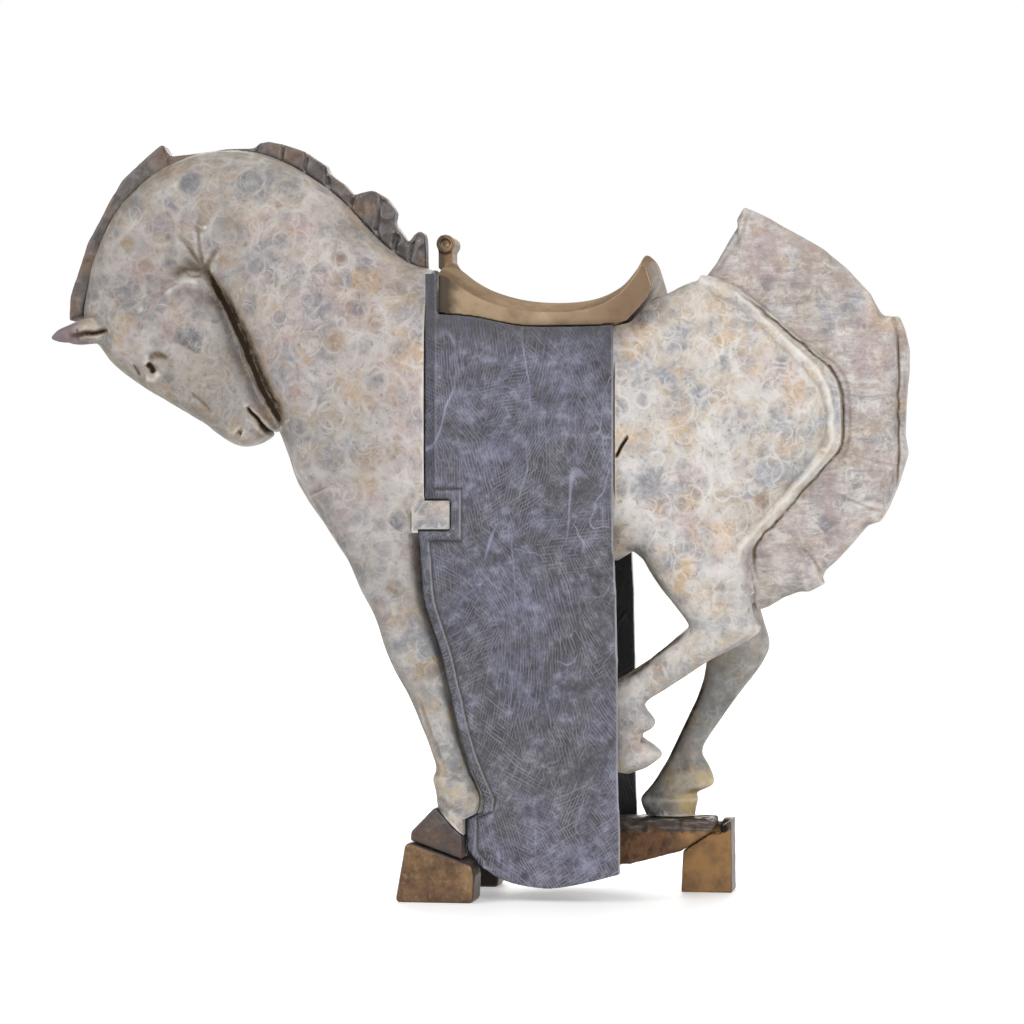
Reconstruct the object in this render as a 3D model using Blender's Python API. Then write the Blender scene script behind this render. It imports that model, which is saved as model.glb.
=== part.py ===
"""Cast bronze horse with a bowed head, flat cloth panels, a saddle and a low base.

Metres. +X runs to the tail, -Y is the side with the drawn panel outline, +Z is up, and
the origin is on the ground in the middle of the outline.
"""

import math

import bmesh
import bpy
import numpy as np

# Driving sizes
FIGURE_HEIGHT = 0.568      # ground to the top of the mane; pose and carving are shares of it
PANEL_FACE = 0.0570        # half of the width over the two cloth panels
PANEL_THICKNESS = 0.0090
PANEL_RIM = 0.0012         # how far the raised rim of a panel stands out
PANEL_RIM_WIDTH = 0.0075
SADDLE_OVERLAP = 0.0020    # how far each side of the saddle lies over its panel
SADDLE_DROP = 0.0090       # how much lower the seat is at its sides
POMMEL_HALF_WIDTH = 0.0120
POMMEL_LIP = 0.0020        # how far the pommel's roll stands out beyond its post
POMMEL_DIMPLE = 0.0038     # radius of the dimple in each end of the pommel
MANE_HALF_WIDTH = 0.0090
LEG_INSET = 0.0160         # middle of a front leg, in from the face of its panel
FOOT_WIDTH = 0.0330        # foot blocks, across
FOOT_STEP = 0.0150         # how far the front foot blocks stand out beyond the panels
HOOF_SIDE_STEP = 0.0045    # hoof block set in from the face of its foot block
REAR_FOOT_INNER = 0.0300   # side of the rear foot block nearest to the middle
BEAM_INNER = 0.0100        # side of the beam nearest to the middle
GAP = 0.0003               # between pieces that touch
REVEAL = 0.0008            # dark line round the cloth panels
SMALL_EDGE = 0.0012        # bevels of the mane and the hoof blocks
FOOT_EDGE = 0.0030         # rounded edges of the front foot blocks
BEAM_EDGE = 0.0030
VOXEL = 0.0030             # grain that blends the limbs into one casting
CASTING_SHARE = 0.0425     # share of the blended faces that is kept

UNIT = FIGURE_HEIGHT / 568                # the figure is drawn at 568 units high
PANEL_INNER = PANEL_FACE - PANEL_THICKNESS
SADDLE_HALF_WIDTH = PANEL_INNER + SADDLE_OVERLAP
LEG_SPREAD = PANEL_FACE - LEG_INSET
FOOT_FACE = PANEL_FACE + FOOT_STEP
ROOM = 10 * UNIT                          # how far a cutter runs past the face it cuts

# Pose of the figure in its own units, as (x, z) points, front or top edge first
CREST = [(-303, 436), (-299, 455), (-291, 480), (-280, 508), (-262, 530), (-243, 544),
         (-215, 554), (-190, 559), (-166, 557), (-140, 548), (-110, 529), (-80, 500),
         (-62, 481), (-38, 467)]
MANE_EDGE = [(-315, 432), (-314, 452), (-307, 472), (-300, 493), (-291, 509), (-283, 524),
             (-273, 540), (-259, 553), (-241, 568), (-235, 558), (-213, 560), (-190, 563),
             (-169, 563), (-165, 567), (-158, 568), (-147, 566), (-130, 560), (-120, 553),
             (-113, 549), (-112, 544), (-100, 535), (-92, 526), (-87, 528), (-77, 530),
             (-67, 524), (-59, 513), (-61, 505), (-50, 490), (-46, 496), (-41, 499),
             (-37, 496), (-36, 470)]
LEG_BACK = [(-34, 274), (-32, 246), (-30, 223), (-24, 203), (-17, 182), (-13, 164),
            (-9, 148), (-6, 134), (2, 106), (13, 80)]
PANEL_TOP = [(-19, 433), (5, 431), (29, 426), (45, 423.5), (78, 423), (112, 424)]
SEAT = [(-20, 472), (-13, 470), (-1, 461), (16, 452), (41, 445), (70, 443), (95, 446),
        (114, 455), (126, 468), (132, 478)]
STRAP = [(172, 457.5), (190, 452.5), (205.5, 444), (221, 431), (236, 417), (257, 399),
         (267, 387.5), (273, 371), (273.5, 350), (271.5, 334), (257, 315), (244, 301),
         (231.5, 287), (218, 272), (208, 260.5), (205, 248), (208, 226)]
PANEL_LEFT, PANEL_RIGHT = -29, 112
TAB = (-34, -10, 274, 295)                # left, right, bottom and top of the girth tab
HOOF_LINE = ((-19, 70), (2, 49))          # joint between front leg and hoof block
FOOT_LINE = ((-38, 45), (13, 27))         # joint between hoof block and foot block
BEAM_TOP = 58
BEAM_NOSE = ((154, 32), (177, 47))        # underside of the beam, over the rear foot block

COLOURS = {
    "horse": ("cream_patina", (0.52, 0.49, 0.43), 0.62, 0.25),
    "mane": ("dark_patina", (0.11, 0.10, 0.09), 0.5, 0.6),
    "blanket": ("blue_patina", (0.14, 0.14, 0.21), 0.55, 0.4),
    "saddle": ("polished_bronze", (0.42, 0.28, 0.13), 0.28, 1.0),
    "hoof": ("dark_patina", (0.11, 0.10, 0.09), 0.5, 0.6),
    "foot": ("brown_bronze", (0.26, 0.14, 0.06), 0.42, 0.9),
    "base": ("brown_bronze", (0.26, 0.14, 0.06), 0.42, 0.9),
}


def scaled(points):
    return np.array(points, dtype=float) * UNIT


def smooth(points, steps, closed=False):
    """Points of a curve that passes through the given rows, with steps in each span."""
    rows = np.array(points, dtype=float)
    if closed:
        rows = np.vstack([rows[-1], rows, rows[0], rows[1]])
    else:
        rows = np.vstack([2 * rows[0] - rows[1], rows, 2 * rows[-1] - rows[-2]])
    share = np.arange(steps)[:, None] / steps
    curve = []
    for a, b, c, d in zip(rows, rows[1:], rows[2:], rows[3:]):
        curve.append(0.5 * (2 * b + (c - a) * share + (2 * a - 5 * b + 4 * c - d) * share ** 2
                            + (3 * b - a - 3 * c + d) * share ** 3))
    curve = np.vstack(curve)
    return curve if closed else np.vstack([curve, rows[-2]])


def rings_to_mesh(rings):
    """Vertices and faces of a closed skin over equal rings, with a fan at both ends."""
    count = len(rings[0])
    verts = np.vstack(rings)
    faces = []
    for row in range(len(rings) - 1):
        for i in range(count):
            j = (i + 1) % count
            faces.append((row * count + i, row * count + j,
                          (row + 1) * count + j, (row + 1) * count + i))
    faces.append(tuple(reversed(range(count))))
    faces.append(tuple(range((len(rings) - 1) * count, len(verts))))
    return verts, faces


def limb(stations, roundness=2.4, steps=3, ring=24):
    """Skin along stations of (front x, front z, back x, back z, half width, y), in units."""
    angle = np.linspace(0, 2 * math.pi, ring, endpoint=False)
    across = np.sign(np.cos(angle)) * np.abs(np.cos(angle)) ** (2 / roundness)
    side = np.sign(np.sin(angle)) * np.abs(np.sin(angle)) ** (2 / roundness)
    rings = []
    for fx, fz, bx, bz, half, y in smooth(stations, steps) * UNIT:
        rings.append(np.column_stack([
            (fx + bx) / 2 + (fx - bx) / 2 * across,
            y + half * side,
            (fz + bz) / 2 + (fz - bz) / 2 * across]))
    return rings_to_mesh(rings)


def cushion(outline, centre, y, edge, middle, roundness=2.4, levels=7):
    """Rounded slab with an outline seen from all of its middle, in units."""
    outline = np.array(outline, dtype=float)
    centre = np.array(centre, dtype=float)
    shares = [math.cos(math.pi / 2 * level / levels) for level in range(levels)]
    rings = []
    for side, order in ((-1, reversed(shares)), (1, shares)):
        for share in order:
            half = edge + (middle - edge) * (1 - share ** roundness) ** (1 / roundness)
            ring = centre + (outline - centre) * share
            rings.append(np.column_stack([ring[:, 0], np.full(len(ring), y + side * half),
                                          ring[:, 1]]) * UNIT)
    return rings_to_mesh(rings)


def slab(outline, low, high):
    """Outline in metres between two y planes."""
    outline = np.array(outline, dtype=float)
    rings = [np.column_stack([outline[:, 0], np.full(len(outline), y), outline[:, 1]])
             for y in (low, high)]
    return rings_to_mesh(rings)


def block(x, y, z):
    return slab([(x[0], z[0]), (x[1], z[0]), (x[1], z[1]), (x[0], z[1])], *y)


def tube(points, radius, ring=10):
    """Round bar through points in space, in metres."""
    points = np.array(points, dtype=float)
    heading = np.gradient(points, axis=0)
    angle = np.linspace(0, 2 * math.pi, ring, endpoint=False)
    rings = []
    for point, ahead in zip(points, heading):
        ahead = ahead / np.linalg.norm(ahead)
        side = np.cross(ahead, (0.0, 1.0, 0.0))
        side = side / np.linalg.norm(side)
        up = np.cross(side, ahead)
        rings.append(point + radius * (np.outer(np.cos(angle), side)
                                       + np.outer(np.sin(angle), up)))
    return rings_to_mesh(rings)


def mirrored(mesh):
    verts, faces = mesh
    return verts * (1, -1, 1), [tuple(reversed(face)) for face in faces]


def material(kind):
    name, colour, roughness, metallic = COLOURS[kind]
    if name in bpy.data.materials:
        return bpy.data.materials[name]
    made = bpy.data.materials.new(name)
    made.use_nodes = True
    shader = made.node_tree.nodes["Principled BSDF"]
    shader.inputs["Base Color"].default_value = (*colour, 1.0)
    shader.inputs["Roughness"].default_value = roughness
    shader.inputs["Metallic"].default_value = metallic
    made.diffuse_color = (*colour, 1.0)
    return made


def piece(name, meshes, kind=None):
    """One object of one or more closed skins."""
    verts, faces, start = [], [], 0
    for skin_verts, skin_faces in meshes:
        verts.extend(map(tuple, skin_verts))
        faces.extend(tuple(i + start for i in face) for face in skin_faces)
        start += len(skin_verts)
    data = bpy.data.meshes.new(name)
    data.from_pydata(verts, [], faces)
    data.update()
    turn_out(data)
    made = bpy.data.objects.new(name, data)
    bpy.context.scene.collection.objects.link(made)
    if kind:
        data.materials.append(material(kind))
    else:
        made.hide_render = True
        made.display_type = "WIRE"
    return made


def turn_out(data):
    """Turns the faces of each closed skin outwards."""
    work = bmesh.new()
    work.from_mesh(data)
    bmesh.ops.recalc_face_normals(work, faces=work.faces)
    work.to_mesh(data)
    work.free()


def cut(target, cutter, operation="DIFFERENCE"):
    change = target.modifiers.new(cutter.name, "BOOLEAN")
    change.operation = operation
    change.solver = "EXACT"
    change.use_self = operation == "UNION"
    change.object = cutter
    cutter.hide_render = True
    cutter.display_type = "WIRE"


def soften(target, width, segments=2):
    bevel = target.modifiers.new("edges", "BEVEL")
    bevel.width = width
    bevel.segments = segments
    bevel.limit_method = "ANGLE"
    bevel.angle_limit = math.radians(40)


def below_line(line, lift, reach=90):
    """Wedge below a joint line, moved up by lift metres at right angles to the line."""
    (x0, z0), (x1, z1) = scaled(line)
    along = np.array([x1 - x0, z1 - z0])
    along = along / np.linalg.norm(along)
    normal = np.array([-along[1], along[0]])
    far = reach * UNIT
    start = np.array([x0, z0]) - along * far + normal * lift
    end = np.array([x1, z1]) + along * far + normal * lift
    return [tuple(start), tuple(start - normal * far), tuple(end - normal * far), tuple(end)]


def head_skins():
    head = limb([(-296, 421, -286, 450, 17, 0), (-290, 412, -262, 462, 24, 0),
                 (-280, 400, -234, 467, 30, 0), (-266, 388.5, -208, 464, 33, 0),
                 (-250, 378, -190, 448, 34, 0), (-235, 369.5, -179, 428, 32, 0),
                 (-220, 361, -171, 405, 29, 0), (-208, 354, -164, 388, 27, 0),
                 (-198, 346, -158, 375, 25, 0), (-188, 339, -153, 364, 23, 0),
                 (-178, 336, -150, 357, 20, 0), (-168, 338, -151, 351, 15, 0),
                 (-161, 342, -153, 348, 9, 0)])
    return [head]


def ear_skins():
    """Leaf-shaped ears that point forwards from the poll."""
    near = limb([(-266, 432, -268, 408, 7, -11), (-280, 436, -281, 411, 8.5, -14),
                 (-291, 437, -291, 415, 9, -16), (-301, 434, -300, 416.5, 8, -18),
                 (-312, 429, -311, 415.5, 6, -19), (-319, 426, -318, 416, 4, -19.5),
                 (-325, 420.5, -325, 418, 1.5, -20)],
                roundness=2.0, steps=2, ring=12)
    return [near, mirrored(near)]


def neck_skins():
    neck = limb([(-304, 441, -262, 425, 19, 0), (-300, 458, -246, 438, 25, 0),
                 (-292, 485, -228, 452, 31, 0), (-274, 519, -214, 464, 36, 0),
                 (-244, 546, -207, 466, 39, 0), (-206, 560, -200, 458, 42, 0),
                 (-165, 559, -190, 436, 45, 0), (-130, 544, -178, 407, 48, 0),
                 (-100, 522, -164, 375, 51, 0), (-70, 490, -149, 349, 54, 0),
                 (-48, 474, -141, 329, 56, 0), (-30, 469, -133, 306, 57, 0),
                 (-8, 462, -113, 277, 57, 0), (22, 446, -90, 250, 54, 0)], roundness=2.7)
    return [neck]


def trunk_skins():
    trunk = limb([(-78, 452, -78, 276, 50, 0), (-50, 460, -50, 262, 56, 0),
                  (-20, 462, -20, 260, 57, 0), (20, 448, 20, 262, 57, 0),
                  (60, 440, 60, 266, 56, 0), (95, 430, 95, 264, 54, 0),
                  (125, 434, 125, 262, 48, 0), (150, 440, 150, 262, 40, 0)], roundness=3.6)
    return [trunk]


def haunch_skins():
    edge = smooth([(96, 422), (119, 432), (132, 443), (147, 448), (171, 458), (189, 452),
                   (206, 444), (222, 431), (238, 418), (257, 400), (267, 388), (273, 370),
                   (273, 350), (271, 334), (257, 315), (244, 301), (231.5, 287), (218, 272),
                   (209, 260), (206, 245), (205, 226), (170, 216),
                   (150, 228), (123, 257), (96, 262)], 3, closed=True)
    haunch = cushion(edge, (175, 345), 0, 20, 48, roundness=2.6)
    strap = scaled(smooth(STRAP, 4))
    sides = []
    for side in (-1, 1):
        rise = np.full(len(strap), side * 25 * UNIT)
        sides.append(tube(np.column_stack([strap[:, 0], rise, strap[:, 1]]), 4.8 * UNIT))
    return [haunch] + sides


def tail_skins():
    """Fan of the tail: a wide layer, and a nearer one that stops short of its rim."""
    wide = [(172, 456), (184, 471), (194, 489), (200, 498), (199, 503), (204, 512),
            (222, 504), (241, 493), (262, 481), (280, 466), (296, 449), (304, 434),
            (308, 431), (318, 431), (322, 421), (325, 406), (323, 373), (322, 343),
            (324, 330), (318, 310), (309, 289), (304, 280), (294, 277), (282, 263),
            (272, 252), (263, 244), (260, 238), (262, 234), (252, 228), (245, 228),
            (232, 223), (220, 216), (213, 213.5), (209, 223), (206, 262), (190, 300),
            (180, 400)]
    near = [(x - max(0.0, x - 300) * 0.32, z) if 270 < z < 440 else (x, z) for x, z in wide]
    return [cushion(wide, (215, 350), 3, 9, 22, 2.0), cushion(near, (215, 350), -5, 8, 22, 2.0)]


def front_leg_skins():
    near = limb([(-122, 298, -40, 330, 26, -24), (-104, 270, -32, 292, 26, -29),
                 (-90, 250, -35, 262, 24, -33), (-79, 228, -32, 228, 21, -37),
                 (-67, 207, -26, 205, 19, -40), (-60, 186, -19, 184, 17.5, -41),
                 (-51, 166, -13.5, 163, 16.5, -41.5), (-42, 150, -10, 146, 16, -42.5),
                 (-33, 130, -6.5, 128, 15, -44), (-25, 111, -1, 111, 14, -46),
                 (-20.5, 98, 5, 94, 15, -48), (-22.5, 90, 9, 86, 16.5, -50),
                 (-20, 80, 12.5, 76, 16.5, -51.5), (-18, 68, 11, 66, 15, -53),
                 (-14, 52, 4, 55, 14, -54), (-10, 40, 4, 44, 13, -54)])
    spread = LEG_SPREAD - 41 * UNIT
    verts, faces = near
    near = (verts - (0, spread, 0), faces)
    return [near, mirrored(near)]


def hind_leg_skins():
    lifted = limb([(118, 274, 214, 276, 25, -20), (138, 238, 210, 236, 23, -23),
                   (153, 219.5, 212, 212, 20, -25), (164, 204, 218, 201, 18, -26),
                   (162, 200, 206, 191, 16.5, -26), (150, 189.5, 184, 179.5, 15, -26),
                   (138, 180, 166, 168, 14, -26), (123, 170, 146, 155, 13.5, -26),
                   (106, 160, 133, 146, 14, -26), (98, 146, 138.5, 134, 15, -26),
                   (101, 130, 134, 126, 12.5, -26), (104, 117, 142, 110, 14, -26),
                   (105, 103, 129, 96.5, 12, -26), (107, 96, 120, 93.5, 8, -26)])
    standing = limb([(148, 268, 206, 266, 22, 24), (160, 232, 208, 232, 22, 27),
                     (168, 205, 214, 207, 19, 29), (171, 186, 219, 188, 17, 30),
                     (171, 172, 213, 173, 15, 30), (167.5, 156, 199, 154, 14, 30),
                     (160, 137, 186, 136, 13, 30), (150, 115, 172.5, 117, 13, 30),
                     (142.5, 100, 168.5, 105, 14, 30), (134, 86, 176, 90, 16, 30),
                     (122, 71, 171, 77, 16, 30), (124, 64, 164, 66, 15, 30),
                     (130, 52, 162, 52, 14, 30)])
    return [lifted, standing]


def panel_left_edge(shift):
    """Left edge of a cloth panel from top to bottom, moved by shift metres off the body."""
    left, right, low, high = (value * UNIT for value in TAB)
    leg = [(x, z) for x, z in scaled(smooth(LEG_BACK, 3)) if z < low - 12 * UNIT]
    heel = scaled([(15, 76), (14, 66), (2, 61), (2, 38), (8, 31)])
    edge = [(PANEL_LEFT * UNIT + shift, high + shift), (right + shift, high + shift),
            (right + shift, low - shift), (left + shift, low - shift)]
    return edge + [(x + shift, z) for x, z in np.vstack([leg, heel])]


def panel_outline(grow=0.0):
    """Outline of a cloth panel in metres, made larger all round by grow."""
    steps = panel_left_edge(REVEAL - grow)
    floor_curve = smooth([(8, 31), (17, 23), (29, 16), (46, 11.5), (67, 10), (90, 14),
                          (117, 21)], 3)[1:]
    right = scaled([(117, 51), (115, 96), (115, 179), (114, 224), (PANEL_RIGHT, 268)])
    top = scaled(smooth(PANEL_TOP, 3))[::-1]
    strip = scaled([(-19.5, 433), (-19.5, 463), (PANEL_LEFT, 463)])
    outline = list(map(tuple, steps))
    outline += [(x, z - grow) for x, z in scaled(floor_curve)]
    outline += [(x + grow, z) for x, z in right]
    outline += [(x + grow, z + grow) for x, z in top[:1]] + [(x, z + grow) for x, z in top[1:]]
    outline += [(strip[1][0] + grow, strip[1][1] + grow),
                (strip[2][0] + REVEAL - grow, strip[2][1] + grow)]
    return outline


def seat_outline():
    """Side outline of the saddle, from the front over the seat and back below."""
    under = [(x, z + GAP) for x, z in scaled(smooth(PANEL_TOP, 3))]
    rear = scaled([(121, 431), (131, 446), (137, 453), (140, 461), (136, 474)])
    over = scaled(smooth(SEAT, 3))[::-1]
    return under, rear, over


def side_drop(z, base):
    """How much lower a point of the saddle lies at the saddle's sides than in the middle."""
    return SADDLE_DROP * min(1.0, max(0.0, z - base) / (14 * UNIT))


def saddle():
    under, rear, over = seat_outline()
    front = under[0][0]
    outline = under + list(map(tuple, rear)) + [(max(x, front), z) for x, z in over]
    half = SADDLE_HALF_WIDTH
    rings = []
    for y in np.linspace(-half, half, 15):
        share = abs(y / half) ** 2.4
        bases = np.interp([x for x, z in outline], [x for x, z in under], [z for x, z in under])
        rings.append(np.array([(x, y, z - share * side_drop(z, base))
                               for (x, z), base in zip(outline, bases)]))
    seat = piece("saddle", [rings_to_mesh(rings)], "saddle")
    post_x = (-27 * UNIT, -15.5 * UNIT)
    neck = slab(scaled([(-19, 462), (-8, 462), (-15.5, 474), (-16, 490), (-26, 490),
                        (-26, 469.5), (-19, 466)]), -POMMEL_HALF_WIDTH, POMMEL_HALF_WIDTH)
    turn = np.linspace(0, 2 * math.pi, 16, endpoint=False)
    roll_radius = (post_x[1] - post_x[0]) / 2 + 1.3 * UNIT
    middle = ((post_x[0] + post_x[1]) / 2 + 0.8 * UNIT, 495 * UNIT - roll_radius)
    roll_end = POMMEL_HALF_WIDTH + POMMEL_LIP
    roll = slab([(middle[0] + roll_radius * math.cos(t), middle[1] + roll_radius * math.sin(t))
                 for t in turn], -roll_end, roll_end)
    cut(seat, piece("pommel_post", [neck]), "UNION")
    cut(seat, piece("pommel_roll", [roll]), "UNION")
    ends = []
    for side in (-1, 1):
        deep = side * POMMEL_HALF_WIDTH
        out = side * (roll_end + ROOM)
        rim = [(middle[0] + POMMEL_DIMPLE * math.cos(t), middle[1] + POMMEL_DIMPLE * math.sin(t))
               for t in turn[::2]]
        ends.append(slab(rim, min(deep, out), max(deep, out)))
    cut(seat, piece("pommel_dimples", ends))
    return seat


def blankets():
    """Cloth panels with a raised rim along the left edge, round the tab and down the leg."""
    field = panel_left_edge(REVEAL + PANEL_RIM_WIDTH)
    far, below, above = 140 * UNIT, -20 * UNIT, 500 * UNIT
    field = [(field[0][0], above)] + field
    field += [(field[-1][0], below), (far, below), (far, above)]
    for name, side in (("blanket_near", -1), ("blanket_far", 1)):
        low, high = sorted((side * (PANEL_INNER + GAP), side * PANEL_FACE))
        panel = piece(name, [slab(panel_outline(), low, high)], "blanket")
        low, high = sorted((side * (PANEL_FACE - PANEL_RIM), side * (PANEL_FACE + ROOM)))
        cut(panel, piece(name + "_field", [slab(field, low, high)]))


def mane_outline(grow=0.0):
    """Comb of the mane: its joint with the crest, then its broken outer edge."""
    joint = scaled(smooth(CREST, 3))
    heading = np.gradient(joint, axis=0)
    heading /= np.linalg.norm(heading, axis=1)[:, None]
    inward = np.column_stack([heading[:, 1], -heading[:, 0]])
    joint = joint + inward * grow
    outer = scaled(MANE_EDGE)
    if grow:
        outer = outer + (outer - scaled([(-150, 430)])) * 0.12
    return list(map(tuple, joint)) + list(map(tuple, outer[::-1]))


def mane():
    comb = piece("mane", [slab(mane_outline(), -MANE_HALF_WIDTH, MANE_HALF_WIDTH)], "mane")
    soften(comb, SMALL_EDGE, 1)
    return comb


def hoof_outline():
    return scaled([(-36.5, 52), (-37.5, 44), (2, 30), (2, 49), (-19, 70)])


def front_blocks():
    """Hoof block and foot block under each front leg."""
    for name, side in (("near", -1), ("far", 1)):
        out = side * FOOT_FACE
        inner = side * (FOOT_FACE - FOOT_WIDTH)
        low, high = sorted((out, inner))
        foot = slab(scaled([(-48, 0), (11, 0), (12, 20), (10, 28), (-38, 45), (-41, 41)]),
                    low, high)
        foot = piece("foot_front_" + name, [foot], "foot")
        soften(foot, FOOT_EDGE)
        low, high = sorted((side * (FOOT_FACE - HOOF_SIDE_STEP), inner))
        hoof = piece("hoof_front_" + name, [slab(hoof_outline(), low, high)], "hoof")
        floor = piece("hoof_floor_" + name, [slab(below_line(FOOT_LINE, GAP), low - ROOM,
                                                  high + ROOM)])
        cut(hoof, floor)
        soften(hoof, SMALL_EDGE, 1)


def rear_base():
    beam = slab(scaled([(24, 20), (60, 17), (116, 22), *BEAM_NOSE, (181, 52),
                        (180, BEAM_TOP), (96, BEAM_TOP), (24, 50)]), BEAM_INNER, PANEL_INNER)
    beam = piece("base_beam", [beam], "base")
    soften(beam, BEAM_EDGE)
    foot = slab(scaled([(152, 0), (191, 0), (190.5, 55), (182, 55), (182, 52), (178, 52),
                        (153.5, 36)]), REAR_FOOT_INNER, REAR_FOOT_INNER + FOOT_WIDTH)
    foot = piece("foot_rear", [foot], "foot")
    cut(foot, piece("beam_seat", [slab(above_line(BEAM_NOSE, GAP), BEAM_INNER - ROOM,
                                       PANEL_INNER + GAP)]))
    notch = block((150 * UNIT, 182 * UNIT + GAP), (0, PANEL_INNER + GAP),
                  (45 * UNIT, 70 * UNIT))
    cut(foot, piece("beam_notch", [notch]))


def above_line(line, drop):
    (x0, z0), (x1, z1) = scaled(line)
    along = np.array([x1 - x0, z1 - z0])
    along = along / np.linalg.norm(along)
    normal = np.array([-along[1], along[0]])
    far = 40 * UNIT
    start = np.array([x0, z0]) - along * far - normal * drop
    end = np.array([x1, z1]) + along * 4 * UNIT - normal * drop
    return [tuple(start), tuple(end), tuple(end + normal * far), tuple(start + normal * far)]


def horse():
    skins = head_skins() + neck_skins() + trunk_skins() + haunch_skins() + tail_skins()
    skins += front_leg_skins() + hind_leg_skins()
    body = piece("horse", skins, "horse")
    blend = body.modifiers.new("casting", "REMESH")
    blend.mode = "VOXEL"
    blend.voxel_size = VOXEL
    relax = body.modifiers.new("relax", "SMOOTH")
    relax.factor = 0.5
    relax.iterations = 2
    thin = body.modifiers.new("facets", "DECIMATE")
    thin.ratio = CASTING_SHARE
    cut(body, piece("ears", ear_skins()), "UNION")
    reach = FOOT_FACE + 2 * ROOM
    for name, side in (("near", -1), ("far", 1)):
        low, high = sorted((side * PANEL_INNER, side * reach))
        cut(body, piece("recess_" + name, [slab(panel_outline(REVEAL), low, high)]))
    under, rear, _ = seat_outline()
    base = under[-1][1]
    above = [(PANEL_LEFT * UNIT, 463 * UNIT), (PANEL_LEFT * UNIT, 520 * UNIT),
             (142 * UNIT, 520 * UNIT)]
    above += [(x + GAP, z - side_drop(z, base) - GAP) for x, z in rear[::-1]]
    above += [(x, z - GAP) for x, z in under[::-1]]
    above += [(-19.5 * UNIT, 463 * UNIT)]
    cut(body, piece("seat_room", [slab(above, -reach, reach)]))
    cut(body, piece("mane_slot", [slab(mane_outline(GAP), -MANE_HALF_WIDTH - GAP,
                                       MANE_HALF_WIDTH + GAP)]))
    for name, side in (("near", -1), ("far", 1)):
        low, high = sorted((side * ROOM, side * reach))
        cut(body, piece("hoof_room_" + name, [slab(below_line(HOOF_LINE, GAP, 60), low, high)]))
    cut(body, piece("ground_room", [block((80 * UNIT, 240 * UNIT), (-2 * ROOM, reach),
                                          (0.0, BEAM_TOP * UNIT + GAP))]))
    return body


def main():
    for old in list(bpy.data.objects):
        bpy.data.objects.remove(old, do_unlink=True)
    horse()
    mane()
    saddle()
    blankets()
    front_blocks()
    rear_base()


main()
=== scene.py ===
"""Looks of the bronze horse: fine castings over the solids, patinas, light and camera."""

import math

import bmesh
import bpy
import numpy as np
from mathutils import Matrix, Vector


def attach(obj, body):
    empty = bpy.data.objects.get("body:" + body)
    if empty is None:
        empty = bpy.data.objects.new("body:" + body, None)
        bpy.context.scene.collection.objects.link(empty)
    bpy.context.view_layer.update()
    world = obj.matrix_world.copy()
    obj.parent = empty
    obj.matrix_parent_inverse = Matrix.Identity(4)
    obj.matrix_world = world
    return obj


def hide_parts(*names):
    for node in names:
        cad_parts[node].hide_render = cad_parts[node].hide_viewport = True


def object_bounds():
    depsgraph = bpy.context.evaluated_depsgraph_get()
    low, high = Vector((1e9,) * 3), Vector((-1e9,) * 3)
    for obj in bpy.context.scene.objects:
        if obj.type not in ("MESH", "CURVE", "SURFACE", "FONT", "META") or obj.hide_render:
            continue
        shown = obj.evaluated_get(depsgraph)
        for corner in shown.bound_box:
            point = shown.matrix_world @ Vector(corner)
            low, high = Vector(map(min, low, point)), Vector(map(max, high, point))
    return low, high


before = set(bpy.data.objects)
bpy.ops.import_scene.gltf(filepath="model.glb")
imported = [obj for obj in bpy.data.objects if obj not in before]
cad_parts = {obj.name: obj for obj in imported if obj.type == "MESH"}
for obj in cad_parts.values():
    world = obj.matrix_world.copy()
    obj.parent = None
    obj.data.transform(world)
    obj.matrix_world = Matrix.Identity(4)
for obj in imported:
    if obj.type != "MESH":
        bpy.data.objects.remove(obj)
cad_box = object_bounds()

# Sizes in metres, the same as the solids have
PANEL_FACE = 0.0570
PANEL_INNER = 0.0480
TAB_FACE = 0.0530
PANEL_RIM = 0.0012
PANEL_RIM_WIDTH = 0.0075
SADDLE_HALF_WIDTH = 0.0500
SADDLE_DROP = 0.0090
POMMEL_HALF_WIDTH = 0.0120
POMMEL_DIMPLE = 0.0038
MANE_HALF_WIDTH = 0.0090
FOOT_WIDTH = 0.0330
FOOT_FACE = 0.0720
HOOF_SIDE_STEP = 0.0045
REAR_FOOT_INNER = 0.0300
BEAM_INNER = 0.0100
GAP = 0.0003
REVEAL = 0.0008
HORSE_VOXEL, PANEL_VOXEL, BLOCK_VOXEL, MANE_VOXEL = 0.0012, 0.00125, 0.001, 0.0009
HORSE_TRIANGLES = 172000
UNIT = 0.001                              # the points below are in millimetres

CREST = [(-303, 436), (-299, 455), (-291, 480), (-280, 508), (-262, 530), (-243, 544),
         (-215, 554), (-190, 559), (-166, 557), (-140, 548), (-110, 529), (-80, 500),
         (-62, 481), (-38, 467)]
MANE_EDGE = [(-315, 432), (-314, 452), (-307, 472), (-300, 493), (-291, 509), (-283, 524),
             (-273, 540), (-259, 553), (-241, 568), (-235, 558), (-213, 560), (-190, 563),
             (-169, 563), (-165, 567), (-158, 568), (-147, 566), (-130, 560), (-120, 553),
             (-113, 549), (-112, 544), (-100, 535), (-92, 526), (-87, 528), (-77, 530),
             (-67, 524), (-59, 513), (-61, 505), (-50, 490), (-46, 496), (-41, 499),
             (-37, 496), (-36, 470)]
LEG_BACK = [(-34, 274), (-32, 246), (-30, 223), (-24, 203), (-17, 182), (-13, 164),
            (-9, 148), (-6, 134), (2, 106), (13, 80)]
PANEL_TOP = [(-19, 433), (5, 431), (29, 426), (45, 423.5), (78, 423), (112, 424)]
SEAT = [(-20, 472), (-13, 470), (-1, 461), (16, 452), (41, 445), (70, 443), (95, 446),
        (114, 455), (126, 468), (132, 478)]
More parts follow.
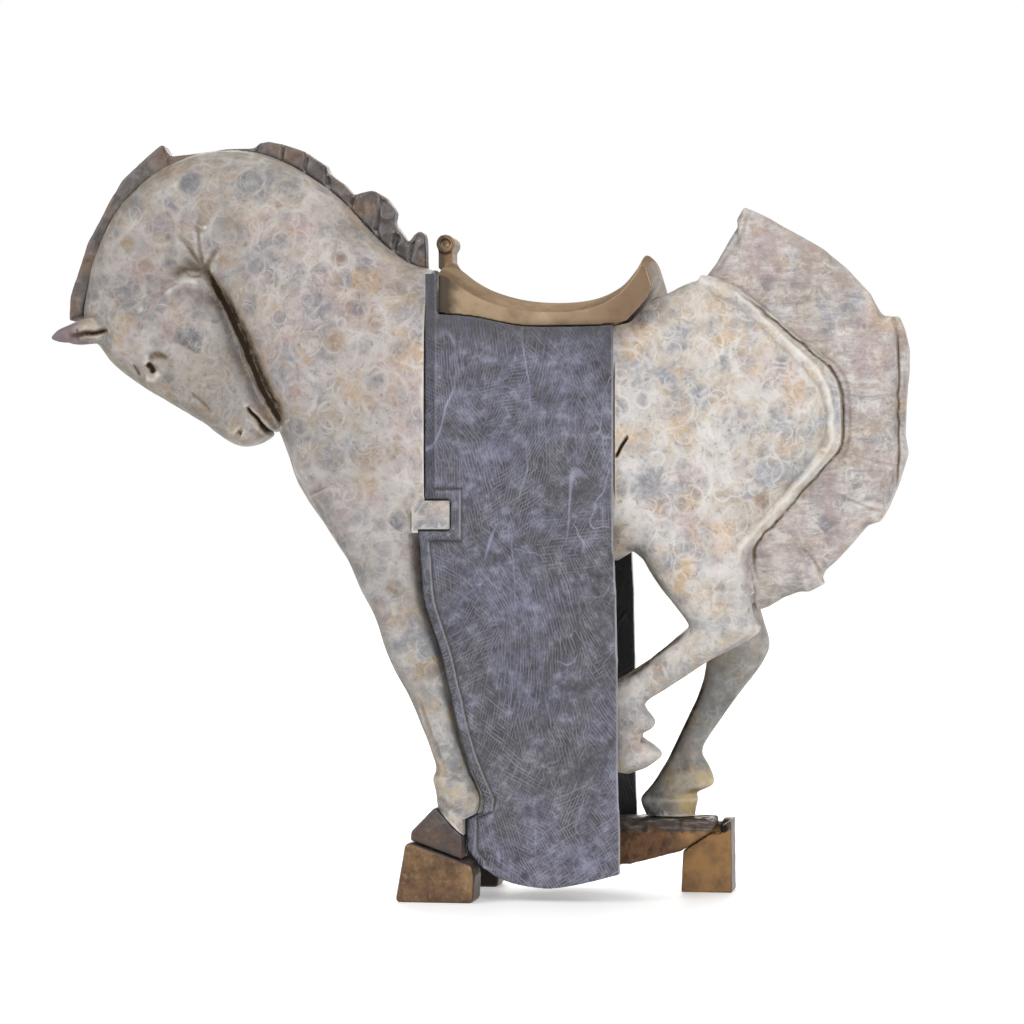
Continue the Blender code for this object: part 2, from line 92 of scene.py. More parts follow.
STRAP = [(172, 457.5), (190, 452.5), (205.5, 444), (221, 431), (236, 417), (257, 399),
         (267, 387.5), (273, 371), (273.5, 350), (271.5, 334), (257, 315), (244, 301),
         (231.5, 287), (218, 272), (208, 260.5), (205, 248), (208, 226)]
PANEL_LEFT, PANEL_RIGHT = -29, 112
STRIP_RIGHT, STRIP_TOP = -19.5, 463       # the panel's strip beside the saddle
TAB = (-34, -10, 274, 295)
HOOF_LINE = ((-19, 70), (2, 49))
FOOT_LINE = ((-38, 45), (13, 27))
BEAM_TOP = 58
BEAM_NOSE = ((154, 32), (177, 47))

# Camera: level, a little towards the tail, at the height of the middle of the body
CAMERA_AZIMUTH = math.radians(9.3)
CAMERA_AIM = (0.028, 0.0, 0.2867)
CAMERA_DISTANCE = 2.565
CAMERA_LENS = 120.0


# Curves and skins

def scaled(points):
    return np.array(points, dtype=float) * UNIT


def smooth(points, steps, closed=False):
    """Points of a curve that passes through the given rows, with steps in each span."""
    rows = np.array(points, dtype=float)
    if closed:
        rows = np.vstack([rows[-1], rows, rows[0], rows[1]])
    else:
        rows = np.vstack([2 * rows[0] - rows[1], rows, 2 * rows[-1] - rows[-2]])
    share = np.arange(steps)[:, None] / steps
    curve = []
    for a, b, c, d in zip(rows, rows[1:], rows[2:], rows[3:]):
        curve.append(0.5 * (2 * b + (c - a) * share + (2 * a - 5 * b + 4 * c - d) * share ** 2
                            + (3 * b - a - 3 * c + d) * share ** 3))
    curve = np.vstack(curve)
    return curve if closed else np.vstack([curve, rows[-2]])


def rings_to_mesh(rings):
    """Vertices and faces of a closed skin over equal rings, with a fan at both ends."""
    count = len(rings[0])
    verts = np.vstack(rings)
    faces = []
    for row in range(len(rings) - 1):
        for i in range(count):
            j = (i + 1) % count
            faces.append((row * count + i, row * count + j,
                          (row + 1) * count + j, (row + 1) * count + i))
    faces.append(tuple(reversed(range(count))))
    faces.append(tuple(range((len(rings) - 1) * count, len(verts))))
    return verts, faces


def limb(stations, roundness=2.4, steps=5, ring=40):
    """Skin along stations of (front x, front z, back x, back z, half width, y), in units."""
    angle = np.linspace(0, 2 * math.pi, ring, endpoint=False)
    across = np.sign(np.cos(angle)) * np.abs(np.cos(angle)) ** (2 / roundness)
    side = np.sign(np.sin(angle)) * np.abs(np.sin(angle)) ** (2 / roundness)
    rings = []
    for fx, fz, bx, bz, half, y in smooth(stations, steps) * UNIT:
        rings.append(np.column_stack([
            (fx + bx) / 2 + (fx - bx) / 2 * across,
            y + half * side,
            (fz + bz) / 2 + (fz - bz) / 2 * across]))
    return rings_to_mesh(rings)


def cushion(outline, centre, y, edge, middle, roundness=2.4, levels=14):
    """Rounded slab with an outline seen from all of its middle, in units."""
    outline = np.array(outline, dtype=float)
    centre = np.array(centre, dtype=float)
    shares = [math.cos(math.pi / 2 * level / levels) for level in range(levels)]
    rings = []
    for side, order in ((-1, reversed(shares)), (1, shares)):
        for share in order:
            half = edge + (middle - edge) * (1 - share ** roundness) ** (1 / roundness)
            ring = centre + (outline - centre) * share
            rings.append(np.column_stack([ring[:, 0], np.full(len(ring), y + side * half),
                                          ring[:, 1]]) * UNIT)
    return rings_to_mesh(rings)


def slab(outline, low, high):
    """Outline in metres between two y planes."""
    outline = np.array(outline, dtype=float)
    rings = [np.column_stack([outline[:, 0], np.full(len(outline), y), outline[:, 1]])
             for y in (low, high)]
    return rings_to_mesh(rings)


def block(x, y, z):
    return slab([(x[0], z[0]), (x[1], z[0]), (x[1], z[1]), (x[0], z[1])], *y)


def circle(middle, radius, turns):
    return [(middle[0] + radius * math.cos(turn), middle[1] + radius * math.sin(turn))
            for turn in turns]


def sided(side, inner, outer):
    """Low and high y of a layer on one side of the figure: -1 near, 1 far."""
    return sorted((side * inner, side * outer))


def tube(points, radius, ring=14):
    """Round bar through points in space, in metres."""
    points = np.array(points, dtype=float)
    heading = np.gradient(points, axis=0)
    angle = np.linspace(0, 2 * math.pi, ring, endpoint=False)
    rings = []
    for point, ahead in zip(points, heading):
        ahead = ahead / np.linalg.norm(ahead)
        side = np.cross(ahead, (0.0, 1.0, 0.0))
        side = side / np.linalg.norm(side)
        up = np.cross(side, ahead)
        rings.append(point + radius * (np.outer(np.cos(angle), side)
                                       + np.outer(np.sin(angle), up)))
    return rings_to_mesh(rings)


def mirrored(mesh):
    verts, faces = mesh
    return verts * (1, -1, 1), [tuple(reversed(face)) for face in faces]


# Objects and modifiers

def in_scene(name, data):
    made = bpy.data.objects.new(name, data)
    bpy.context.scene.collection.objects.link(made)
    return made


def lump(name, meshes):
    """Helper object of one or more closed skins; it isn't part of the finished model."""
    verts, faces, start = [], [], 0
    for skin_verts, skin_faces in meshes:
        verts.extend(map(tuple, skin_verts))
        faces.extend(tuple(i + start for i in face) for face in skin_faces)
        start += len(skin_verts)
    data = bpy.data.meshes.new(name)
    data.from_pydata(verts, [], faces)
    data.update()
    work = bmesh.new()
    work.from_mesh(data)
    bmesh.ops.recalc_face_normals(work, faces=work.faces)
    work.to_mesh(data)
    work.free()
    return in_scene(name, data)


def boolean(target, cutter, operation="DIFFERENCE"):
    change = target.modifiers.new(cutter.name, "BOOLEAN")
    change.operation = operation
    change.solver = "EXACT"
    change.use_self = operation == "UNION"
    change.object = cutter


def baked(target, helpers=()):
    """Applies an object's modifiers and removes the helpers that they used."""
    graph = bpy.context.evaluated_depsgraph_get()
    data = bpy.data.meshes.new_from_object(target.evaluated_get(graph))
    old = target.data
    target.modifiers.clear()
    target.data = data
    bpy.data.meshes.remove(old)
    for helper in helpers:
        bpy.data.objects.remove(helper, do_unlink=True)
    return target


def blend(target, voxel, relax=2):
    """Runs the skins together into one casting."""
    change = target.modifiers.new("casting", "REMESH")
    change.mode = "VOXEL"
    change.voxel_size = voxel * 1.0
    change = target.modifiers.new("relax", "SMOOTH")
    change.factor = 0.5
    change.iterations = relax
    return baked(target)


def thin_out(target, triangles):
    """Keeps a mesh under a number of triangles."""
    count = sum(len(face.vertices) - 2 for face in target.data.polygons)
    if count > triangles:
        change = target.modifiers.new("facets", "DECIMATE")
        change.ratio = triangles / count
        baked(target)


def bevelled(target, width, segments=2):
    bevel = target.modifiers.new("edges", "BEVEL")
    bevel.width = width
    bevel.segments = segments
    bevel.limit_method = "ANGLE"
    bevel.angle_limit = math.radians(40)


# Vertex work in numpy

def points_of(target):
    flat = np.empty(len(target.data.vertices) * 3)
    target.data.vertices.foreach_get("co", flat)
    return flat.reshape(-1, 3)


def normals_of(target):
    flat = np.empty(len(target.data.vertices) * 3)
    target.data.vertices.foreach_get("normal", flat)
    return flat.reshape(-1, 3)


def move_points(target, points):
    target.data.vertices.foreach_set("co", np.ascontiguousarray(points).ravel())
    target.data.update()


def grain(points, size, seed):
    """Smooth noise from -1 to 1 with bumps about size metres wide."""
    cells = 24
    table = np.random.default_rng(seed).uniform(-1, 1, (cells, cells, cells))
    place = points / size + seed * 3.7
    base = np.floor(place).astype(int)
    share = place - base
    share = share * share * (3 - 2 * share)
    total = np.zeros(len(points))
    for dx in (0, 1):
        for dy in (0, 1):
            for dz in (0, 1):
                weight = (np.abs(1 - dx - share[:, 0]) * np.abs(1 - dy - share[:, 1])
                          * np.abs(1 - dz - share[:, 2]))
                total += weight * table[(base[:, 0] + dx) % cells, (base[:, 1] + dy) % cells,
                                        (base[:, 2] + dz) % cells]
    return total


def pits(points, size, seed):
    return np.abs(grain(points, size, seed))


def distance_to(points, curve):
    """Distance in the side plane to a curve of (x, z) points, and the share along it."""
    best = np.full(len(points), 1e9)
    along = np.zeros(len(points))
    for i, (a, b) in enumerate(zip(curve, curve[1:])):
        step = b - a
        share = np.clip(((points - a) @ step) / (step @ step), 0, 1)
        away = np.linalg.norm(points - a - share[:, None] * step, axis=1)
        nearer = away < best
        best[nearer] = away[nearer]
        along[nearer] = (i + share[nearer]) / (len(curve) - 1)
    return best, along


def crease(points, normals, curve, width, depth, fade=0.15, facing=0.25, side=0):
    """How far points go in along a groove drawn on both sides of the figure, in metres.

    A side of 1 keeps it to the half of the figure that is turned away from the photograph,
    and a side of 2 lets it cut round the rim.
    """
    curve = scaled(smooth(curve, 4))
    low, high = curve.min(axis=0) - 3 * width, curve.max(axis=0) + 3 * width
    flat = points[:, [0, 2]]
    near = np.all((flat > low) & (flat < high), axis=1)
    if side != 2:
        near &= (np.abs(normals[:, 1]) > facing) & (side * points[:, 1] >= 0)
    move = np.zeros(len(points))
    if near.any():
        wander = np.column_stack([grain(points[near], 0.007, seed) for seed in (61, 62)])
        away, along = distance_to(flat[near] + 0.0009 * wander, curve)
        ends = np.clip(np.minimum(along, 1 - along) / fade, 0, 1) if fade else 1.0
        move[near] = depth * np.exp(-(away / width) ** 2) * np.sqrt(ends)
    return move


def mark(target, name, values):
    layer = target.data.attributes.new(name, "FLOAT", "POINT")
    layer.data.foreach_set("value", values)


def mark_hollows(target, rounds=5):
    """Stores how hollow (1) or sharp (0) the surface is at each point, from its neighbours."""
    data = target.data
    points = points_of(target)
    normals = normals_of(target)
    ends = np.empty(len(data.edges) * 2, dtype=int)
    data.edges.foreach_get("vertices", ends)
    ends = ends.reshape(-1, 2)
    length = np.linalg.norm(points[ends[:, 0]] - points[ends[:, 1]], axis=1)
    ends = ends[length < 0.006]
    degree = np.bincount(ends.ravel(), minlength=len(points)).astype(float)
    degree[degree == 0] = 1
    spread = points.copy()
    for _ in range(rounds):
        total = np.zeros_like(spread)
        np.add.at(total, ends[:, 0], spread[ends[:, 1]])
        np.add.at(total, ends[:, 1], spread[ends[:, 0]])
        spread = 0.5 * spread + 0.5 * total / degree[:, None]
    rise = np.einsum("ij,ij->i", spread - points, normals)
    mark(target, "hollow", np.clip(0.5 + rise / 0.0012, 0, 1))


def finish_piece(target, node, material, angle=35):
    """Gives a piece its material and smooth shading, hangs it under the root body and hides the
    solid that it stands in for.
    """
    data = target.data
    data.materials.clear()
    data.materials.append(material)
    data.polygons.foreach_set("material_index", np.zeros(len(data.polygons), dtype=int))
    data.polygons.foreach_set("use_smooth", np.ones(len(data.polygons), dtype=bool))
    data.set_sharp_from_angle(angle=math.radians(angle))
    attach(target, "root")
    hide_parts(node)


# The cast horse

def head_skins():
    return [limb([(-301, 423, -290, 450, 15, 0), (-290, 412, -262, 462, 24, 0),
                  (-280, 400, -234, 467, 30, 0), (-266, 388.5, -208, 464, 33, 0),
                  (-250, 378, -190, 448, 34, 0), (-235, 369.5, -179, 428, 32, 0),
                  (-220, 361, -171, 405, 29, 0), (-208, 354, -164, 388, 27, 0),
                  (-198, 346, -158, 375, 25, 0), (-188, 339, -153, 364, 23, 0),
                  (-178, 336, -150, 357, 20, 0), (-168, 338, -151, 351, 15, 0),
                  (-161, 342, -153, 348, 9, 0)]),
            limb([(-236, 478, -222, 446, 22, 0), (-218, 482, -206, 448, 24, 0),
                  (-202, 474, -192, 442, 22, 0), (-190, 452, -182, 426, 18, 0)])]


def ear_skins():
    near = limb([(-266, 432, -268, 408, 7, -11), (-280, 436, -281, 411, 8.5, -14),
                 (-291, 437, -291, 415, 9, -16), (-301, 434, -300, 416.5, 8, -18),
                 (-312, 429, -311, 415.5, 6, -19), (-319, 426, -318, 416, 4, -19.5),
                 (-325, 420.5, -325, 418, 1.5, -20)], roundness=2.0, steps=4, ring=24)
    return [near, mirrored(near)]


def neck_skins():
    return [limb([
        (-303, 432, -266, 417, 15, 0), (-304, 441, -262, 425, 19, 0),
        (-300, 458, -246, 438, 25, 0), (-292, 485, -228, 452, 31, 0),
        (-274, 519, -214, 464, 36, 0), (-244, 546, -207, 466, 39, 0),
        (-206, 560, -200, 458, 42, 0), (-165, 559, -190, 436, 45, 0),
        (-130, 544, -178, 407, 48, 0), (-100, 522, -164, 375, 51, 0), (-70, 490, -149, 349, 54, 0),
        (-48, 474, -141, 329, 56, 0), (-30, 469, -133, 306, 57, 0), (-8, 462, -113, 277, 57, 0),
        (22, 446, -90, 250, 54, 0)], roundness=2.7)]


def trunk_skins():
    return [limb([
        (-78, 452, -78, 276, 50, 0), (-50, 460, -50, 262, 56, 0), (-20, 462, -20, 260, 57, 0),
        (20, 448, 20, 262, 57, 0), (60, 440, 60, 266, 56, 0), (95, 430, 95, 264, 54, 0),
        (125, 434, 125, 262, 48, 0), (150, 440, 150, 262, 40, 0)], roundness=3.6),
        slab(scaled([(TAB[0] - 5, TAB[2] - 3), (TAB[1] + 4, TAB[2] - 3), (TAB[1] + 4, TAB[3] + 3),
                     (TAB[0] - 5, TAB[3] + 3)]), -TAB_FACE, TAB_FACE)]


def haunch_skins():
    edge = smooth([
        (96, 422), (119, 432), (132, 443), (147, 448), (171, 458), (189, 452), (206, 444),
        (222, 431), (238, 418), (257, 400), (267, 388), (273, 370), (273, 350), (271, 334),
        (257, 315), (244, 301), (231.5, 287), (218, 272), (209, 260), (206, 245), (205, 226),
        (170, 216), (150, 228), (123, 257), (96, 262)], 5, closed=True)
    haunch = cushion(edge, (175, 345), 0, 20, 48, roundness=2.6)
    strap = scaled(smooth(STRAP, 6))
    sides = []
    for side in (-1, 1):
        rise = np.full(len(strap), side * 25 * UNIT)
        sides.append(tube(np.column_stack([strap[:, 0], rise, strap[:, 1]]), 4.8 * UNIT))
    return [haunch] + sides


def tail_skins():
    wide = [(172, 456), (184, 471), (194, 489), (200, 498), (199, 503), (204, 512), (222, 504),
            (241, 493), (262, 481), (280, 466), (296, 449), (304, 434), (308, 431), (318, 431),
            (322, 421), (325, 406), (323, 373), (322, 343), (324, 330), (318, 310), (309, 289),
            (304, 280), (294, 277), (282, 263), (272, 252), (263, 244), (260, 238), (262, 234),
            (252, 228), (245, 228), (232, 223), (220, 216), (213, 213.5), (209, 223), (206, 262),
            (190, 300), (180, 400)]
    near = [(x - max(0.0, x - 300) * 0.32, z) if 270 < z < 440 else (x, z) for x, z in wide]
    return [cushion(wide, (215, 350), 3, 9, 22, 2.0), cushion(near, (215, 350), -5, 8, 22, 2.0)]


def front_leg_skins():
    near = limb([
        (-122, 298, -40, 330, 26, -24), (-104, 270, -32, 292, 26, -29),
        (-90, 250, -35, 262, 24, -33), (-79, 228, -32, 228, 21, -37),
        (-67, 207, -26, 205, 19, -40), (-60, 186, -19, 184, 17.5, -41),
        (-51, 166, -13.5, 163, 16.5, -41.5), (-42, 150, -10, 146, 16, -42.5),
        (-33, 130, -6.5, 128, 15, -44), (-25, 111, -1, 111, 14, -46), (-20.5, 98, 5, 94, 15, -48),
        (-22.5, 90, 9, 86, 16.5, -50), (-20, 80, 12.5, 76, 16.5, -51.5),
        (-18, 68, 11, 66, 15, -53), (-14, 52, 4, 55, 14, -54), (-10, 40, 4, 44, 13, -54)])
    return [near, mirrored(near)]


def hind_leg_skins():
    lifted = limb([
        (118, 274, 214, 276, 25, -20), (138, 238, 210, 236, 23, -23),
        (153, 219.5, 212, 212, 20, -25), (164, 204, 218, 201, 18, -26),
        (162, 200, 206, 191, 16.5, -26), (150, 189.5, 184, 179.5, 15, -26),
        (138, 180, 166, 168, 14, -26), (123, 170, 146, 155, 13.5, -26),
        (106, 160, 133, 146, 14, -26), (99, 151, 133.5, 141, 15, -26),
        (98, 140, 139.5, 133, 15, -26), (100, 131, 137, 126.5, 13, -26),
        (101, 126, 129.5, 121.5, 12.5, -26), (103, 119, 140, 114, 14, -26),
        (104, 112, 144.5, 107, 14, -26), (105, 103, 133, 98, 12, -26),
        (107, 96, 120, 93.5, 8, -26)])
    standing = limb([
        (148, 268, 206, 266, 22, 24), (160, 232, 208, 232, 22, 27), (168, 205, 214, 207, 19, 29),
        (171, 186, 219, 188, 17, 30), (171, 172, 213, 173, 15, 30), (167.5, 156, 199, 154, 14, 30),
        (160, 137, 186, 136, 13, 30), (150, 115, 172.5, 117, 13, 30), (143, 101, 168, 106, 14, 30),
        (138, 93, 173, 97, 15, 30), (134, 87, 176.5, 89, 16, 30), (129, 80, 176.5, 81.5, 16, 30),
        (124, 74, 165, 75.5, 15, 30), (122, 70, 165.5, 71, 15.5, 30), (124, 64, 164, 65, 15, 30),
        (130, 52, 162, 52, 14, 30)])
    return [lifted, standing]


def below_line(line, lift, reach=90):
    """Wedge below a joint line, moved up by lift metres at right angles to the line."""
    (x0, z0), (x1, z1) = scaled(line)
    along = np.array([x1 - x0, z1 - z0])
    along = along / np.linalg.norm(along)
    normal = np.array([-along[1], along[0]])
    far = reach * UNIT
    start = np.array([x0, z0]) - along * far + normal * lift
    end = np.array([x1, z1]) + along * far + normal * lift
    return [tuple(start), tuple(start - normal * far), tuple(end - normal * far), tuple(end)]


def panel_left_edge(shift):
    """Left edge of a cloth panel from top to bottom, moved by shift metres off the body."""
    left, right, low, high = (value * UNIT for value in TAB)
    leg = [(x, z) for x, z in scaled(smooth(LEG_BACK, 3)) if z < low - 0.012]
    heel = scaled([(15, 76), (14, 66), (2, 61), (2, 38), (8, 31)])
    edge = [(PANEL_LEFT * UNIT + shift, high + shift), (right + shift, high + shift),
            (right + shift, low - shift), (left + shift, low - shift)]
    return edge + [(x + shift, z) for x, z in np.vstack([leg, heel])]


def panel_outline(grow=0.0):
    """Outline of a cloth panel in metres, made larger all round by grow."""
    steps = panel_left_edge(REVEAL - grow)
    floor_curve = smooth([(8, 31), (17, 23), (29, 16), (46, 11.5), (67, 10), (90, 14),
                          (117, 21)], 5)[1:]
    right = scaled([(117, 51), (115, 96), (115, 179), (114, 224), (PANEL_RIGHT, 268)])
    top = scaled(smooth(PANEL_TOP, 3))[::-1]
    strip = scaled([(STRIP_RIGHT, 433), (STRIP_RIGHT, STRIP_TOP), (PANEL_LEFT, STRIP_TOP)])
    outline = list(map(tuple, steps))
    outline += [(x, z - grow) for x, z in scaled(floor_curve)]
    outline += [(x + grow, z) for x, z in right]
    outline += [(x + grow, z + grow) for x, z in top[:1]] + [(x, z + grow) for x, z in top[1:]]
    outline += [(strip[1][0] + grow, strip[1][1] + grow),
                (strip[2][0] + REVEAL - grow, strip[2][1] + grow)]
    return outline


def side_drop(z, base):
    return SADDLE_DROP * min(1.0, max(0.0, z - base) / (14 * UNIT))


def seat_outline():
    """Side outline of the saddle, from the front over the seat and back below."""
    under = [(x, z + GAP) for x, z in scaled(smooth(PANEL_TOP, 3))]
    rear = scaled([(121, 431), (131, 446), (137, 453), (140, 461), (136, 474)])
    over = scaled(smooth(SEAT, 5))[::-1]
    return under, rear, over


def mane_outline(grow=0.0):
    joint = scaled(smooth(CREST, 3))
    heading = np.gradient(joint, axis=0)
    heading /= np.linalg.norm(heading, axis=1)[:, None]
    inward = np.column_stack([heading[:, 1], -heading[:, 0]])
    joint = joint + inward * grow
    outer = scaled(MANE_EDGE)
    if grow:
        outer = outer + (outer - scaled([(-150, 430)])) * 0.12
    return list(map(tuple, joint)) + list(map(tuple, outer[::-1]))


# Fine lines on the horse: points, width, depth and shade. Widths and depths are in
# millimetres, a depth is negative where the line is raised, and shade is how dark the line
# is painted (painted shade in the creases and grooves, with some dark marks), or how pale
# where it is negative (a painted highlight along a raised ridge). A 1 at the end keeps the
# line to the far half, and a 2 lets it cut round the rim.
BODY_LINES = [
    ([(-203, 472), (-198, 462), (-190, 447.5), (-182, 433.5), (-175.5, 420), (-169.5, 406),
      (-163, 390), (-157, 376.5), (-150.5, 365), (-145.5, 357), (-144, 350)], 3.4, 4.0, 1.05),
    ([(-196, 466), (-184, 446), (-176, 432), (-169, 418), (-163, 404), (-156, 388),
      (-150, 375), (-143, 363), (-139, 354)], 6.5, 1.6, 0.66),
    ([(-221, 495), (-214, 487), (-207.5, 477.5), (-203.5, 470), (-200, 464)], 2.2, 1.3, 0.46),
    ([(-204.5, 501), (-203.5, 486), (-203.2, 474), (-201, 464)], 1.8, 1.1, 0.42),
    ([(-188, 486), (-194, 477), (-199, 470), (-201, 462)], 2.6, 1.2, 0.44),
    ([(-227, 463), (-218, 470), (-208, 469.5), (-202, 467)], 3.6, 1.2, 0.45),
    ([(-224, 471), (-214, 465.5), (-205, 466)], 1.3, 0.8, 0.42),
    ([(-234, 451), (-227, 457), (-218, 460.5), (-208, 459.5)], 3.0, -1.2, -0.45),
    ([(-186, 478), (-172, 470), (-166, 456)], 5.0, 0.9, 0.2),
    ([(-171, 367), (-168, 362), (-163, 357), (-158.5, 350), (-154, 343), (-149, 335)],
     1.4, 2.6, 1.0),
    ([(-161, 354), (-156, 346), (-152, 339), (-149, 333)], 1.9, 3.4, 1.0, 2),
    ([(-172, 357), (-165, 352), (-160, 345)], 2.0, -0.9, 0.0),
    ([(-178.5, 348), (-177, 346.5), (-175.5, 345.5)], 2.6, 2.0, 0.62),
    ([(-215, 379), (-208, 373), (-203, 368), (-198, 361)], 1.7, 1.1, 0.45),
    ([(-247, 399), (-244.5, 395.5), (-243, 391.5)], 2.9, 2.2, 1.0),
    ([(-250, 388), (-243, 387), (-237, 392)], 2.4, -1.2, -0.4),
    ([(-246, 403), (-238, 406), (-229, 402)], 3.4, 1.0, 0.55),
    ([(-259.5, 398), (-256.5, 394), (-254, 390.5)], 1.3, 1.0, 0.62),
    ([(-236, 390), (-226, 380), (-214, 371)], 4.0, 0.9, 0.12),
    ([(-310, 420.5), (-301, 421.3), (-291, 422.8), (-279, 424.5)], 2.3, 2.6, 0.85),
    ([(-303, 427), (-302.5, 421), (-303.5, 416)], 1.2, 0.6, 0.55),
    ([(-250, 440), (-232, 428), (-216, 410), (-205, 392)], 5.0, 1.0, 0.0),
    ([(-98, 470), (-86, 458), (-74, 440), (-66, 420)], 3.5, 0.7, 0.0),
    ([(-120, 330), (-106, 316), (-88, 306), (-66, 300)], 5.0, 0.8, 0.0),
    ([(-40, 262), (-52, 240), (-57, 220), (-52, 196)], 3.0, 1.0, 0.0),
    ([(-33, 150), (-27, 134), (-20, 115), (-10, 92)], 1.8, 1.2, 0.3),
    ([(-44, 150), (-36, 126), (-25, 98)], 2.0, -0.8, 0.0),
    ([(-17, 78), (-8, 71), (2, 67)], 2.0, 1.0, 0.35),
    ([(113, 326), (117, 334), (122, 343)], 1.1, 3.0, 1.0),
    ([(150, 300), (168, 268), (186, 240), (200, 214)], 6.0, 0.8, 0.0),
    ([(134, 178), (150, 186), (172, 197)], 2.4, -0.7, 0.0),
    ([(181, 455.5), (204.5, 443.2), (219, 430), (234, 414.8), (254, 396.4), (263.3, 385),
      (269.5, 366), (270, 350), (269.5, 337), (254.5, 316.5), (229.5, 288.5), (205, 262),
      (201.5, 247)], 2.0, -1.6, -0.9),
    ([(176, 451), (201, 439), (230, 411.5), (259, 382), (265.5, 364), (265.5, 342),
      (250, 318), (226, 290.5), (201, 263)], 1.3, 0.7, 0.22),
    ([(196, 452), (214, 438.8), (230, 426), (252.5, 406), (264, 396.5), (273.5, 386),
      (278, 366), (278, 350), (276, 333), (266, 321), (256.5, 310.5), (237, 288.5),
      (216, 265), (212.5, 252), (215, 234)], 1.1, 1.5, 0.66),
    ([(250, 414), (268, 399), (279, 386), (282.5, 366), (282.5, 350), (280, 331),
      (268, 314)], 1.6, 0.6, 0.3),
    ([(272, 300), (290, 292), (306, 287)], 1.4, 0.6, 0.35),
    ([(282, 330), (300, 324), (318, 321)], 1.3, 0.5, 0.2),
    ([(246, 262), (256, 252), (262, 240)], 1.4, 0.7, 0.35),
    ([(316.5, 300), (317.5, 340), (317.5, 390), (316.5, 426)], 1.1, 0.7, 0.6),
    ([(204, 500), (222, 494), (250, 478), (276, 458)], 1.4, 0.4, 0.15),
    ([(206, 505), (203, 492), (194, 478), (184, 464)], 2.0, 0.5, 0.3),
    ([(129, 118), (135, 120.5), (140, 121)], 1.6, 1.6, 0.4),
    ([(119, 163), (132, 173), (146, 185), (164, 199)], 2.0, 0.0, 0.62),
    ([(171, 178), (170, 162), (165, 146), (157, 129), (147, 108), (140, 97), (131, 83),
      (121, 70)], 3.4, 0.0, 0.72, 1),
]


def horse(material):
    skins = head_skins() + neck_skins() + trunk_skins() + haunch_skins() + tail_skins()
    skins += front_leg_skins() + hind_leg_skins() + ear_skins()
    body = lump("horse_casting", skins)
    blend(body, HORSE_VOXEL, 5)
    points, normals = points_of(body), normals_of(body)
    move = np.zeros(len(points))
    for curve, width, depth, _, *side in BODY_LINES:
        if depth:
            move -= crease(points, normals, curve, width * UNIT, depth * UNIT,
                           side=side[0] if side else 0)
    move += 0.00055 * grain(points, 0.03, 3) + 0.00025 * grain(points, 0.011, 5)
    move += 8e-05 * grain(points, 0.0045, 9)
    move_points(body, points + normals * move[:, None])
    thin_out(body, HORSE_TRIANGLES)
    rooms = []
    reach = PANEL_FACE + 0.03
    for name, side in (("near", -1), ("far", 1)):
        rooms.append(lump("recess_" + name,
                          [slab(panel_outline(REVEAL), *sided(side, PANEL_INNER, reach))]))
    under, rear, _ = seat_outline()
    base = under[-1][1]
    above = [(PANEL_LEFT * UNIT, STRIP_TOP * UNIT), (PANEL_LEFT * UNIT, 0.52), (0.142, 0.52)]
    above += [(x + GAP, z - side_drop(z, base) - GAP) for x, z in rear[::-1]]
    above += [(x, z - GAP) for x, z in under[::-1]] + [(STRIP_RIGHT * UNIT, STRIP_TOP * UNIT)]
    rooms.append(lump("seat_room", [slab(above, -reach, reach)]))
    rooms.append(lump("mane_slot", [slab(mane_outline(GAP), -MANE_HALF_WIDTH - GAP,
                                         MANE_HALF_WIDTH + GAP)]))
    hooves = []
    for side in (-1, 1):
        hooves.append(slab(below_line(HOOF_LINE, GAP, 60), *sided(side, 0.01, 0.09)))
    hooves.append(block((0.08, 0.24), (-0.02, 0.08), (0.0, BEAM_TOP * UNIT + GAP)))
    rooms.append(lump("ground_rooms", hooves))
    for room in rooms:
        boolean(body, room)
    baked(body, rooms)
    mark_hollows(body)
    points, normals = points_of(body), normals_of(body)
    points = np.clip(points, *cad_box)
    move_points(body, points)
    # Painted shade along the creases and grooves, and a painted highlight along the raised ridges,
    # stored on the points for the material.
    shade_and_stain, ridge_highlight = np.zeros((2, len(points)))
    for curve, width, _, dark, *side in BODY_LINES:
        if dark:
            line = crease(points, normals, curve, width * UNIT, abs(dark), 0.15, -1,
                          side[0] if side else 0)
            kept = shade_and_stain if dark > 0 else ridge_highlight
            np.maximum(kept, line, out=kept)
    mark(body, "shade_and_stain", np.clip(shade_and_stain, 0, 1))
    mark(body, "ridge_highlight", np.clip(ridge_highlight, 0, 1))
    mark(body, "tail", past_strap(points))
    finish_piece(body, "horse", material, 40)
    return body


def past_strap(points):
    """1 where a point lies on the tail, outside the strap, fading to 0 on the haunch."""
    strap = scaled(smooth(STRAP, 4))
    centre = np.array((150, 345)) * UNIT
    flat = points[:, [0, 2]] - centre
    turn = np.arctan2(flat[:, 1], flat[:, 0])
    line = strap - centre
    line_turn = np.arctan2(line[:, 1], line[:, 0])
    order = np.argsort(line_turn)
    reach = np.interp(turn, line_turn[order], np.linalg.norm(line, axis=1)[order], 9.0, 9.0)
    return np.clip((np.linalg.norm(flat, axis=1) - reach) / 0.004, 0, 1)


# The mane, saddle, cloth panels and base

MANE_LINES = [
    ([(-168, 556), (-167, 570)], 1.6, 2.4), ([(-148, 550), (-146, 570)], 1.6, 2.0),
    ([(-131, 541), (-127, 562)], 1.6, 2.2), ([(-113, 530), (-110, 552)], 2.0, 3.0),
    ([(-97, 514), (-91, 530)], 1.8, 2.6), ([(-76, 496), (-70, 528)], 1.8, 2.4),
    ([(-62, 482), (-55, 508)], 2.0, 3.0), ([(-50, 474), (-46, 498)], 1.4, 2.0),
    ([(-236, 548), (-238, 566)], 1.6, 1.6), ([(-250, 545), (-256, 556)], 1.4, 1.2),
    ([(-272, 523), (-284, 532)], 1.4, 1.0), ([(-289, 492), (-304, 498)], 1.4, 1.0),
]


